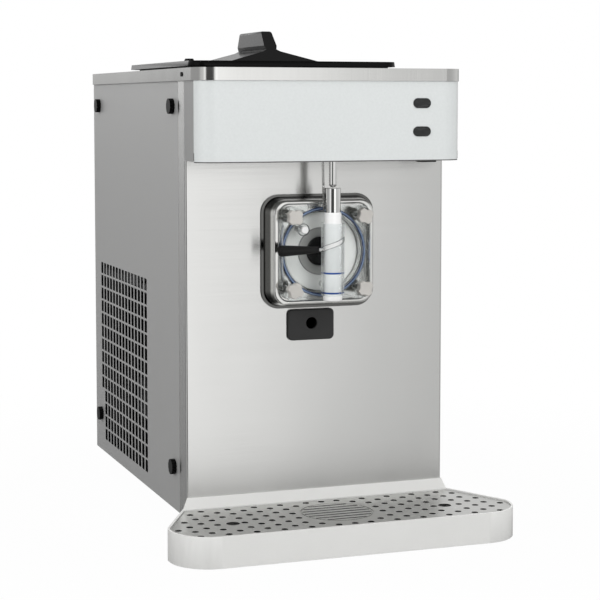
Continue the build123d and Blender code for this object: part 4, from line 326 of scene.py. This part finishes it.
def brushed_metal(name, colour, rough, along, spread=0.015, relief=0.012, mottle=0.02, return_shade=None, hole_shade=None,
                  **constants):
    """Sheet metal with a fine one-way grain, soft broad shading and faint handling marks.

    The share given as return_shade is the painted shade of its folded sides beside the tone of its face.
    The share given as hole_shade is the painted shade on the upright edges in the holes of a level sheet.
    """
    paint = Paint(name, metallic=constants.pop("metallic", 1.0), **constants)
    grain = paint.noise(GRAIN[along], detail=3.0)
    broad = paint.noise((9.0, 9.0, 3.0), detail=2.0)
    light = paint.ramp(grain, (0.25, shade(colour, 1 - spread)), (0.75, shade(colour, 1 + spread)))
    low, high = shade(colour, 1 - spread - 2 * mottle), shade(colour, 1 - mottle)
    worn = paint.ramp(grain, (0.25, low), (0.75, high))
    face = paint.mix(paint.span(broad, 0.0, 1.0), light, worn)
    # Painted shade: the folded sides are darker, as they mirror darker surroundings
    if return_shade:
        outward = paint.number("ABSOLUTE", paint.part(paint.place, "X"))
        low, high = shade(colour, return_shade - spread), shade(colour, return_shade + spread)
        shaded_sides = paint.ramp(grain, (0.25, low), (0.75, high))
        face = paint.mix(paint.span(outward, 0.0, 1.0, RETURN_FROM, RETURN_TO), face, shaded_sides)
    # Painted shade on the upright edges in the holes
    if hole_shade:
        level = paint.number("ABSOLUTE", paint.facing("Z"))
        dark = paint.ramp(grain, (0.25, shade(colour, hole_shade * 0.8)), (0.75, shade(colour, hole_shade * 1.2)))
        face = paint.mix(paint.span(level, 0.0, 1.0, 0.4, 0.6), dark, face)
    paint.colour(face)
    paint.rough(paint.span(grain, rough * 0.9, rough * 1.15))
    paint.bump(grain, relief, 0.0002)
    return paint.material


def polished_metal(name, colour, rough):
    """Bright turned or drawn metal with faint smears."""
    paint = Paint(name, metallic=1.0)
    smear = paint.noise((60.0, 60.0, 25.0), detail=4.0)
    paint.colour(paint.ramp(smear, (0.3, shade(colour, 0.94)), (0.7, shade(colour, 1.03))))
    paint.rough(paint.span(smear, rough * 0.7, rough * 1.5))
    return paint.material


def drawn_metal(name, colour, wall_shade, rough):
    """Bright drawn metal whose side walls, towards the cabinet, carry painted shade far darker than its rim.
    """
    paint = Paint(name, metallic=1.0)
    smear = paint.noise((60.0, 60.0, 25.0), detail=4.0)
    depth = paint.part(paint.place, "Y")
    bright = paint.ramp(smear, (0.3, shade(colour, 0.94)), (0.7, shade(colour, 1.03)))
    # Painted shade on the side walls, which mirror darker surroundings
    shaded_sides = paint.ramp(smear, (0.3, shade(wall_shade, 0.9)), (0.7, shade(wall_shade, 1.1)))
    paint.colour(paint.mix(paint.span(depth, 0.0, 1.0, RIM_FROM, RIM_TO), bright, shaded_sides))
    paint.rough(paint.span(smear, rough * 0.7, rough * 1.5))
    return paint.material


def painted_metal(name, colour, rough, metallic=0.0, peel=420.0):
    """Satin paint with a slight orange peel and a little dust."""
    paint = Paint(name, metallic=metallic)
    cloud = paint.noise(4.0, detail=2.0)
    skin = paint.noise(peel, detail=1.0)
    plain = paint.ramp(skin, (0.2, shade(colour, 0.975)), (0.8, shade(colour, 1.025)))
    dusty = paint.ramp(skin, (0.2, shade(colour, 0.95)), (0.8, shade(colour, 1.0)))
    paint.colour(paint.mix(paint.span(cloud, 0.0, 1.0, 0.1, 0.9), plain, dusty))
    paint.rough(paint.span(cloud, rough * 0.9, rough * 1.1, 0.1, 0.9))
    paint.bump(skin, 0.06, 0.0002)
    return paint.material


def moulded_plastic(name, colour, rough, texture=900.0, relief=0.12, speck=0.08, **constants):
    """Moulded plastic with a fine skin and slight unevenness of tone."""
    paint = Paint(name, **constants)
    cloud = paint.noise(18.0, detail=4.0)
    skin = paint.noise(texture, detail=2.0)
    paint.colour(paint.ramp(cloud, (0.3, shade(colour, 1 - speck)), (0.7, shade(colour, 1 + speck))))
    paint.rough(paint.span(skin, rough * 0.85, rough * 1.2))
    paint.bump(skin, relief, 0.00025)
    return paint.material


def tray_plastic(name, colour, floor):
    """Pale moulded plastic, with painted shade, nearly black, on the floor of the well."""
    paint = Paint(name)
    cloud = paint.noise(18.0, detail=4.0)
    skin = paint.noise(900.0, detail=2.0)
    # Painted shade on the floor of the well under the grate, so that the grate's holes look dark
    level = paint.span(paint.facing("Z"), 0.0, 1.0, 0.8, 0.9)
    deep = paint.span(paint.part(paint.place, "Z"), 1.0, 0.0, WELL_FROM, WELL_TO)
    well_shade_mask = paint.number("MULTIPLY", level, deep)
    outer = paint.ramp(cloud, (0.3, shade(colour, 0.988)), (0.7, shade(colour, 1.012)))
    inner = paint.ramp(cloud, (0.3, shade(floor, 0.8)), (0.7, shade(floor, 1.2)))
    paint.colour(paint.mix(well_shade_mask, outer, inner))
    paint.rough(paint.span(skin, 0.27, 0.38))
    paint.bump(skin, 0.03, 0.00025)
    return paint.material


def clear_plastic(name, tint, rough, index):
    """Clear cast plastic with faint scuffs: plain to see through from in front, glassy along its edges."""
    paint = Paint(name, IOR=index, Transmission_Weight=1.0)
    scuff = paint.noise(90.0, detail=5.0)
    paint.colour(paint.ramp(scuff, (0.3, shade(tint, 0.985)), (0.7, tint)))
    paint.rough(paint.span(scuff, 0.0, rough, 0.45, 0.8))
    passing = paint.add("ShaderNodeBsdfTransparent", Color=(0.96, 0.97, 0.97, 1.0))
    slant = paint.add("ShaderNodeLayerWeight", Blend=0.5).outputs["Facing"]
    shadow = paint.add("ShaderNodeLightPath").outputs["Is Shadow Ray"]
    glassy = paint.operate("ShaderNodeMath", "SUBTRACT", [paint.span(slant, 0.08, 1.0, 0.35, 0.95), shadow])
    glassy.use_clamp = True
    paint.surface(paint.blend(glassy.outputs["Value"], passing.outputs["BSDF"], paint.shader.outputs["BSDF"]))
    return paint.material


def rubber(name, colour, rough):
    """Dull rubber with a fine skin."""
    paint = Paint(name, Specular_IOR_Level=0.35)
    cloud = paint.noise(35.0, detail=4.0)
    skin = paint.noise(1200.0, detail=1.0)
    paint.colour(paint.ramp(cloud, (0.3, shade(colour, 0.85)), (0.7, shade(colour, 1.2))))
    paint.rough(paint.span(cloud, rough * 0.9, rough * 1.1))
    paint.bump(skin, 0.15, 0.0003)
    return paint.material


class Rings(Paint):
    """A material that changes with the distance from the axis of the freezing cylinder."""

    def reach(self, near, far):
        """Distance from the axis, as a share of the way from near to far in millimetres."""
        axis = (0.0, 0.0, -AXIS_HEIGHT * MM)
        flat = self.vector("MULTIPLY_ADD", self.place, (1.0, 0.0, 1.0), axis)
        return self.span(self.length(flat), 0.0, 1.0, near * MM, far * MM)


def seal_ring(name, edge, core_highlight):
    """Blue ring with a painted highlight along its pale core and painted shade at its dark edges."""
    paint = Rings(name, Specular_IOR_Level=0.4)
    cloud = paint.noise(35.0, detail=4.0)
    across = paint.reach(RING_INNER, RING_OUTER)
    # The ring's blue is its own colour; the pale core is a painted highlight and both edges are painted shade
    paint.colour(paint.ramp(across, (0.0, edge), (0.30, shade(edge, 1.6)), (0.48, core_highlight), (0.66, core_highlight),
                            (0.80, shade(edge, 2.4)), (1.0, edge)))
    paint.rough(paint.span(cloud, 0.28, 0.36))
    return paint.material


def beater_steel(name, plate, collar):
    """Satin plate with a darker collar round the bush; its near-white tone is partly painted reflection of
    bright surroundings.
    """
    paint = Rings(name, metallic=0.15)
    cloud = paint.noise(25.0, detail=3.0)
    across = paint.reach(COLLAR_INNER, COLLAR_OUTER)
    zone = paint.ramp(across, (0.0, shade(collar, 0.3)), (0.22, shade(collar, 0.5)), (0.30, collar),
                      (0.70, shade(collar, 1.3)), (0.76, shade(collar, 0.6)), (0.80, plate))
    # Near-white plate tone: partly painted reflection of bright surroundings
    worn = paint.ramp(cloud, (0.2, shade(plate, 0.96)), (0.8, plate))
    paint.colour(paint.mix(paint.span(across, 0.0, 0.5, 0.80, 0.85), zone, worn))
    paint.rough(paint.span(cloud, 0.30, 0.40))
    return paint.material


def punched_sheet(name, colour, hole_shade, rough):
    """Painted sheet that stands across X, with painted shade, nearly black, on the upright edges in its
    holes.
    """
    paint = Paint(name, metallic=0.35)
    cloud = paint.noise(4.0, detail=2.0)
    skin = paint.noise(420.0, detail=1.0)
    across = paint.number("ABSOLUTE", paint.facing("X"))
    plain = paint.ramp(skin, (0.2, shade(colour, 0.98)), (0.8, shade(colour, 1.02)))
    # Painted shade on the upright edges of the vent holes
    dark = paint.ramp(skin, (0.2, shade(hole_shade, 0.8)), (0.8, shade(hole_shade, 1.2)))
    paint.colour(paint.mix(paint.span(across, 0.0, 1.0, 0.4, 0.6), dark, plain))
    paint.rough(paint.span(cloud, rough * 0.9, rough * 1.1, 0.1, 0.9))
    paint.bump(skin, 0.06, 0.0002)
    return paint.material


def inner_shaded_sheet(name, colour, inner_shade, rough):
    """Painted sheet with painted shade, nearly black, on the face towards the cabinet."""
    paint = Paint(name, metallic=0.35)
    cloud = paint.noise(4.0, detail=2.0)
    skin = paint.noise(420.0, detail=1.0)
    depth = paint.part(paint.place, "Y")
    outer = paint.ramp(cloud, (0.1, shade(colour, 0.97)), (0.9, shade(colour, 1.03)))
    # Painted shade: the face towards the cabinet is nearly black, standing in for the shade inside the
    # cabinet
    shaded_inner_face = paint.ramp(skin, (0.2, shade(inner_shade, 0.8)), (0.8, shade(inner_shade, 1.2)))
    paint.colour(paint.mix(paint.span(depth, 0.0, 1.0, INNER_SHADE_FROM, INNER_SHADE_TO), shaded_inner_face, outer))
    paint.rough(paint.span(cloud, rough * 0.9, rough * 1.1, 0.1, 0.9))
    paint.bump(skin, 0.06, 0.0002)
    return paint.material


def foam_block(name, colour):
    """Foam with open cells."""
    paint = Paint(name)
    distance = paint.add("ShaderNodeTexVoronoi", Vector=paint.place, Scale=260.0).outputs["Distance"]
    paint.colour(paint.ramp(distance, (0.0, shade(colour, 0.75)), (0.6, colour)))
    paint.rough(paint.span(distance, 0.85, 0.95, 0.0, 1.0))
    paint.bump(distance, 0.5, 0.001)
    return paint.material


def circuit_board(name):
    """Green board with a pattern of tracks."""
    paint = Paint(name)
    tracks = paint.add("ShaderNodeTexBrick", Vector=paint.place, Scale=90.0, Mortar_Size=0.03,
                       Color1=(0.010, 0.090, 0.030, 1.0), Color2=(0.014, 0.120, 0.040, 1.0),
                       Mortar=(0.10, 0.28, 0.10, 1.0))
    paint.colour(tracks.outputs["Color"])
    paint.rough(paint.span(paint.noise(200.0, detail=2.0), 0.35, 0.5))
    return paint.material


def lamp_lens(name, colour):
    """Dark smoked lens with faint level streaks."""
    paint = Paint(name, Specular_IOR_Level=0.3)
    cloud = paint.noise((60.0, 60.0, 200.0), detail=3.0)
    paint.colour(paint.ramp(cloud, (0.3, shade(colour, 0.7)), (0.7, shade(colour, 1.4))))
    paint.rough(paint.span(cloud, 0.2, 0.3))
    return paint.material


MATERIALS = {
    "panel": punched_sheet("panel_paint", (0.408, 0.408, 0.404), (0.02, 0.02, 0.02), 0.40),
    "front": brushed_metal("front_steel", (0.77, 0.77, 0.755), 0.22, "X", return_shade=0.66,
                           Anisotropic=0.94, Anisotropic_Rotation=0.25),
    "cap": brushed_metal("cap_steel", (0.67, 0.67, 0.655), 0.14, "Z", spread=0.03, mottle=0.05),
    "surround": drawn_metal("surround_steel", (0.74, 0.74, 0.72), (0.125, 0.125, 0.121), 0.12),
    "hopper": brushed_metal("hopper_steel", (0.70, 0.70, 0.69), 0.30, "Z"),
    "strip": brushed_metal("strip_steel", (0.75, 0.75, 0.74), 0.20, "Z"),
    "fascia": painted_metal("fascia_paint", (0.618, 0.641, 0.638), 0.26, peel=300.0),
    "cheek": painted_metal("cheek_paint", (0.31, 0.31, 0.307), 0.40, metallic=0.35),
    "lamp": lamp_lens("lamp_lens", (0.018, 0.019, 0.019)),
    "tray": tray_plastic("tray_plastic", (0.655, 0.655, 0.64), (0.05, 0.05, 0.048)),
    "grate": brushed_metal("grate_steel", (0.66, 0.66, 0.642), 0.34, "X", spread=0.06, relief=0.05,
                           hole_shade=0.12),
    "lid": moulded_plastic("lid_plastic", (0.003, 0.003, 0.003), 0.24, relief=0.04,
                           Specular_IOR_Level=0.11),
    "black": moulded_plastic("black_plastic", (0.006, 0.006, 0.006), 0.36, Specular_IOR_Level=0.3),
    "drawer": moulded_plastic("drawer_plastic", (0.026, 0.026, 0.026), 0.45, Specular_IOR_Level=0.3),
    "screw": moulded_plastic("screw_plastic", (0.003, 0.003, 0.003), 0.32, Specular_IOR_Level=0.08),
    "clear": clear_plastic("door_clear", (0.985, 0.99, 0.99), 0.06, 1.40),
    "white": moulded_plastic("piston_plastic", (0.77, 0.77, 0.765), 0.30, relief=0.03, speck=0.015),
    "knob": moulded_plastic("knob_plastic", (0.47, 0.455, 0.43), 0.50, texture=500.0, relief=0.25,
                            speck=0.08),
    "seal": rubber("seal_rubber", (0.020, 0.075, 0.32), 0.40),
    "ring": seal_ring("seal_ring", (0.012, 0.024, 0.075), (0.24, 0.31, 0.45)),
    "plate": beater_steel("beater_steel", (0.96, 0.95, 0.925), (0.34, 0.335, 0.325)),
    "rear": inner_shaded_sheet("rear_paint", (0.42, 0.42, 0.416), (0.012, 0.012, 0.012), 0.40),
    # Painted dark outlines for the edges of the clear door
    "rim": moulded_plastic("clear_edge_outline", (0.10, 0.105, 0.11), 0.2, relief=0.03),
    # Painted shade for the strip under the fascia
    "edge": painted_metal("fascia_edge_shade", (0.09, 0.09, 0.088), 0.5),
    "rubber": rubber("black_rubber", (0.012, 0.012, 0.012), 0.65),
    "chrome": polished_metal("bright_steel", (0.82, 0.82, 0.81), 0.05),
    # Bright, barely metallic steel inside the cylinder: partly painted reflection of bright surroundings
    "inner": brushed_metal("inner_steel", (0.80, 0.80, 0.79), 0.34, "Y", spread=0.03, metallic=0.15),
    "zinc": brushed_metal("zinc_steel", (0.16, 0.163, 0.167), 0.45, "Z", spread=0.08),
    "plant": painted_metal("plant_paint", (0.010, 0.010, 0.011), 0.38),
    "alloy": painted_metal("cast_alloy", (0.42, 0.43, 0.44), 0.45, metallic=1.0, peel=260.0),
    "fins": brushed_metal("fin_alloy", (0.62, 0.63, 0.64), 0.35, "Z"),
    "copper": polished_metal("copper_pipe", (0.62, 0.30, 0.17), 0.25),
    "foam": foam_block("foam_block", (0.70, 0.64, 0.46)),
    "board": circuit_board("circuit_board"),
}

DRESS = {
    "panel": ["left_side_panel", "right_side_panel"],
    "rear": ["rear_panel"],
    "front": ["front_panel"],
    "cap": ["top_cap"],
    "surround": ["door_surround"],
    "hopper": ["hopper"],
    "strip": ["guide_strip"],
    "fascia": ["header_fascia"],
    "cheek": ["header_box"],
    "lamp": ["indicator_lamps"],
    "tray": ["drip_tray"],
    "grate": ["drip_grate"],
    "lid": ["hopper_lid"],
    "black": ["lever_grip", "beater_bush", "power_gland", "condenser_fan", "draw_switch", "rocker_switch",
              "switch_frame"],
    "drawer": ["drip_drawer"],
    "screw": ["panel_screws", "cap_screws"],
    "clear": ["freezer_door"],
    "white": ["draw_piston", "prime_plug", "mix_feed_tube"],
    "knob": KNOBS,
    "seal": ["piston_seals"],
    "ring": ["door_seal"],
    "rubber": ["hopper_gasket", "feet", "drive_belt"],
    "chrome": ["valve_cap", "push_rod", "lever_arm", "door_studs"],
    "inner": ["freezing_cylinder", "mix_inlet_tube"],
    "plate": ["beater"],
    "zinc": ["base_pan", "frame", "drive_shelf", "fan_shroud", "electrical_box", "drawer_guide"],
    "plant": ["compressor", "drive_motor", "fan_motor"],
    "alloy": ["gearbox", "driven_pulley", "motor_pulley"],
    "fins": ["condenser"],
    "copper": ["refrigerant_lines"],
    "foam": ["cylinder_insulation"],
    "board": ["control_board"],
}
for key, names in DRESS.items():
    for name in names:
        slots = NODES[name].data.materials
        slots.clear()
        slots.append(MATERIALS[key])


def soften(names, width, segments=2, angle=35.0):
    """Small rounds on the sharp edges of CAD pieces, in millimetres."""
    for name in names:
        weld = NODES[name].modifiers.new("weld", "WELD")
        weld.merge_threshold = WELD_REACH
        bevel = NODES[name].modifiers.new("edges", "BEVEL")
        bevel.width = width * MM
        bevel.segments = segments
        bevel.limit_method = "ANGLE"
        bevel.angle_limit = math.radians(angle)
        bevel.harden_normals = True
        bevel.use_clamp_overlap = True


soften(["drip_tray"], 1.0, segments=3)
soften(["drip_drawer", "hopper_lid"], 0.5)
soften(["draw_piston", "prime_plug", "beater_bush"], 0.4)
soften(KNOBS, 0.6, segments=3)
soften(["panel_screws"], 3.0, segments=5)
soften(["feet"], 1.2, segments=3)


def swept(name, path, section, material, closed=False, body="machine"):
    """A thin profile drawn along a path, both in millimetres. The section is given across and up."""
    mesh = bpy.data.meshes.new(name)
    shape = bmesh.new()
    rings = []
    count = len(path)
    for index, point in enumerate(path):
        before = path[index - 1] if closed or index else point
        after = path[(index + 1) % count] if closed or index < count - 1 else point
        along = (Vector(after) - Vector(before)).normalized()
        upward = Vector((0.0, 0.0, 1.0))
        if abs(along.z) > STEEP:
            upward = Vector((0.0, -1.0, 0.0))
        across = along.cross(upward).normalized()
        upward = across.cross(along).normalized()
        corners = [(Vector(point) + across * x + upward * y) * MM for x, y in section]
        rings.append([shape.verts.new(corner) for corner in corners])
    sides = len(section)
    spans = count if closed else count - 1
    for index in range(spans):
        first = rings[index]
        second = rings[(index + 1) % count]
        for side in range(sides):
            turn = (side + 1) % sides
            shape.faces.new((first[side], first[turn], second[turn], second[side]))
    if not closed:
        shape.faces.new(rings[0])
        shape.faces.new(tuple(reversed(rings[-1])))
    bmesh.ops.recalc_face_normals(shape, faces=shape.faces)
    shape.to_mesh(mesh)
    shape.free()
    mesh.materials.append(material)
    piece = bpy.data.objects.new(name, mesh)
    bpy.context.scene.collection.objects.link(piece)
    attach(piece, body)


def box_section(wide, low, high):
    """Rectangle across the path, from low to high."""
    return [(-wide / 2, low), (wide / 2, low), (wide / 2, high), (-wide / 2, high)]


def round_section(radius, sides=8):
    """Circle across the path."""
    turns = [2 * math.pi * side / sides for side in range(sides)]
    return [(radius * math.cos(turn), radius * math.sin(turn)) for turn in turns]


def header_line(inset, back):
    """Plan of the header's front from one side to the other, in millimetres."""
    reach = HEADER_ROUND - inset
    middle_x = HEADER_HALF - HEADER_ROUND
    middle_y = HEADER_FRONT + HEADER_ROUND
    first = -math.acos((middle_y - back) / reach)
    turns = [first * (1 - step / HEADER_ROUND_STEPS) for step in range(HEADER_ROUND_STEPS + 1)]
    left = [(-middle_x + reach * math.sin(turn), middle_y - reach * math.cos(turn)) for turn in turns]
    return left + [(-x, y) for x, y in reversed(left)]


# Thin dark strip under the fascia: painted shade along its lower edge
swept("fascia_edge", [(x, y, HEADER_LOW) for x, y in header_line(EDGE_INSET, EDGE_BACK)],
      box_section(EDGE_WIDE, EDGE_DROP, EDGE_TOP), MATERIALS["edge"])
# Black strips of painted shade in the gaps where the fascia meets the cheeks
for side, label in ((-1, "left"), (1, "right")):
    swept("fascia_gap_shade_" + label, [(side * GAP_X, GAP_Y, GAP_LOW), (side * GAP_X, GAP_Y, GAP_HIGH)],
          box_section(GAP_WIDE, -GAP_WIDE / 2, GAP_WIDE / 2), MATERIALS["screw"])

# Lip of the rocker switch's frame under the header
LIP_CORNERS = [(LIP_LEFT, LIP_FRONT), (LIP_RIGHT, LIP_FRONT), (LIP_RIGHT, LIP_BACK), (LIP_LEFT, LIP_BACK)]
swept("switch_lip", [(x, y, LIP_TOP) for x, y in LIP_CORNERS], box_section(LIP_WIDE, LIP_DROP, 0.0),
      MATERIALS["black"], closed=True)


def boss_path(depth, radius, steps=48):
    """Circle round the prime boss that faces the front."""
    turns = [2 * math.pi * step / steps for step in range(steps)]
    return [(BOSS_X + radius * math.cos(turn), depth, BOSS_Z + radius * math.sin(turn)) for turn in turns]


def slot_path():
    """Rim of the lever's slot, on the outside of the valve tube."""
    length = TUBE_REACH * math.radians(SLOT_SWING)
    lean = math.atan2(SLOT_RISE, length)
    flat = []
    for end, quarter in ((0.0, math.pi / 2), (1.0, -math.pi / 2)):
        for step in range(SLOT_END_STEPS + 1):
            turn = quarter + math.pi * step / SLOT_END_STEPS + lean
            along = length * end + SLOT_HALF * math.cos(turn)
            flat.append((along, SLOT_RISE * end + SLOT_HALF * math.sin(turn)))
        for step in range(1, SLOT_SIDE_STEPS):
            share = abs(end - step / SLOT_SIDE_STEPS)
            side = SLOT_HALF if end else -SLOT_HALF
            flat.append((length * share - side * math.sin(lean), SLOT_RISE * share + side * math.cos(lean)))
    rim = []
    for along, rise in flat:
        turn = math.pi + along / TUBE_REACH
        x = VALVE_X + TUBE_REACH * math.cos(turn)
        y = VALVE_Y + TUBE_REACH * math.sin(turn)
        rim.append((x, y, SLOT_LOW + rise))
    return rim


# Painted dark outlines where the clear door's edges refract light: the prime boss and the lever's slot
swept("boss_rim", boss_path(BOSS_FRONT, BOSS_RIM_REACH), round_section(BOSS_RIM), MATERIALS["rim"],
      closed=True)
swept("boss_root", boss_path(BOSS_BACK, BOSS_ROOT_REACH), round_section(BOSS_ROOT), MATERIALS["rim"],
      closed=True)
swept("slot_rim", slot_path(), round_section(SLOT_RIM), MATERIALS["rim"], closed=True)

# Camera
camera_data = bpy.data.cameras.new("camera")
camera_data.lens = CAMERA_LENS
camera_data.shift_y = CAMERA_SHIFT
camera = bpy.data.objects.new("camera", camera_data)
camera.location = CAMERA_PLACE
camera.rotation_euler = (math.radians(CAMERA_TILT), 0.0, math.radians(CAMERA_YAW))
bpy.context.scene.collection.objects.link(camera)
bpy.context.scene.camera = camera


def studio_world():
    """White behind the object, plain soft light on it, and a studio's tones for shiny surfaces."""
    world = bpy.data.worlds.new("studio")
    tree = Tree(world)
    way = tree.add("ShaderNodeTexCoord").outputs["Generated"]
    height = tree.part(way, "Z")
    ahead = tree.number("MULTIPLY", tree.part(way, "Y"), -1.0)
    bearing = tree.span(tree.number("ARCTAN2", tree.part(way, "X"), ahead), 0.0, 1.0, -math.pi, math.pi)

    def toned(stops):
        """The tones in all bearings."""
        return tree.ramp(bearing, *[((degrees + 180) / 360, grey(tone)) for degrees, tone in stops])

    def risen(start, end):
        """The height of a direction, as a share of the way from start to end."""
        return tree.span(height, 0.0, 1.0, start, end)

    around = tree.mix(risen(LEVEL_HEIGHT, UPPER_HEIGHT), toned(LEVEL_TONES), toned(UPPER_TONES))
    fallen = tree.vector("MULTIPLY", around, tree.span(height, FALL_LOW, 1.0, FALL_TO, FALL_FROM))
    raised = tree.mix(risen(HIGH_FROM, HIGH_TO), fallen, toned(HIGH_TONES))
    mirrored = tree.mix(risen(DOME_FROM, DOME_TO), raised, opaque(grey(DOME_TONE)))
    path = tree.add("ShaderNodeLightPath").outputs
    shiny = tree.number("MAXIMUM", path["Is Glossy Ray"], path["Is Transmission Ray"])
    lit = tree.mix(shiny, opaque(grey(AMBIENT)), mirrored)
    shown = tree.mix(path["Is Camera Ray"], lit, opaque(grey(1.0)))
    tree.feed(shown, tree.nodes["Background"].inputs["Color"])
    bpy.context.scene.world = world


studio_world()


def studio_floor():
    """Pale floor that keeps the contact shadow and runs out to white."""
    mesh = bpy.data.meshes.new("floor")
    shape = bmesh.new()
    bmesh.ops.create_grid(shape, x_segments=1, y_segments=1, size=FLOOR_SIZE / 2)
    shape.to_mesh(mesh)
    shape.free()
    floor = bpy.data.objects.new("floor", mesh)
    floor.location.z = CAD_BOX[0].z - FLOOR_DROP
    bpy.context.scene.collection.objects.link(floor)
    floor.visible_glossy = False
    material = bpy.data.materials.new("floor")
    tree = Tree(material)
    tree.nodes.remove(tree.nodes["Principled BSDF"])
    matt = tree.add("ShaderNodeBsdfDiffuse", Color=opaque(grey(FLOOR_GREY)))
    glow = tree.add("ShaderNodeEmission")
    far = tree.length(tree.add("ShaderNodeTexCoord").outputs["Object"])
    fade = tree.span(far, FLOOR_NEAR, 1.0, FLOOR_FADE_FROM, FLOOR_FADE_TO)
    direct = tree.number("MULTIPLY", tree.add("ShaderNodeLightPath").outputs["Is Camera Ray"], fade)
    tree.surface(tree.blend(direct, matt.outputs["BSDF"], glow.outputs["Emission"]))
    mesh.materials.append(material)


studio_floor()


def softbox(name, place, aim, size, watts):
    """Broad soft light that shows in no mirror."""
    data = bpy.data.lights.new(name, "AREA")
    data.shape = "RECTANGLE"
    data.size = size[0]
    data.size_y = size[1]
    data.energy = watts
    lamp = bpy.data.objects.new(name, data)
    lamp.location = place
    lamp.rotation_euler = (Vector(aim) - Vector(place)).to_track_quat("-Z", "Y").to_euler()
    lamp.visible_glossy = False
    lamp.visible_camera = False
    lamp.visible_transmission = False
    bpy.context.scene.collection.objects.link(lamp)


for light_name, (light_place, light_size, light_watts) in LIGHTS.items():
    softbox(light_name, light_place, LIGHTS_AIM, light_size, light_watts)

bpy.context.scene.view_settings.view_transform = "Standard"
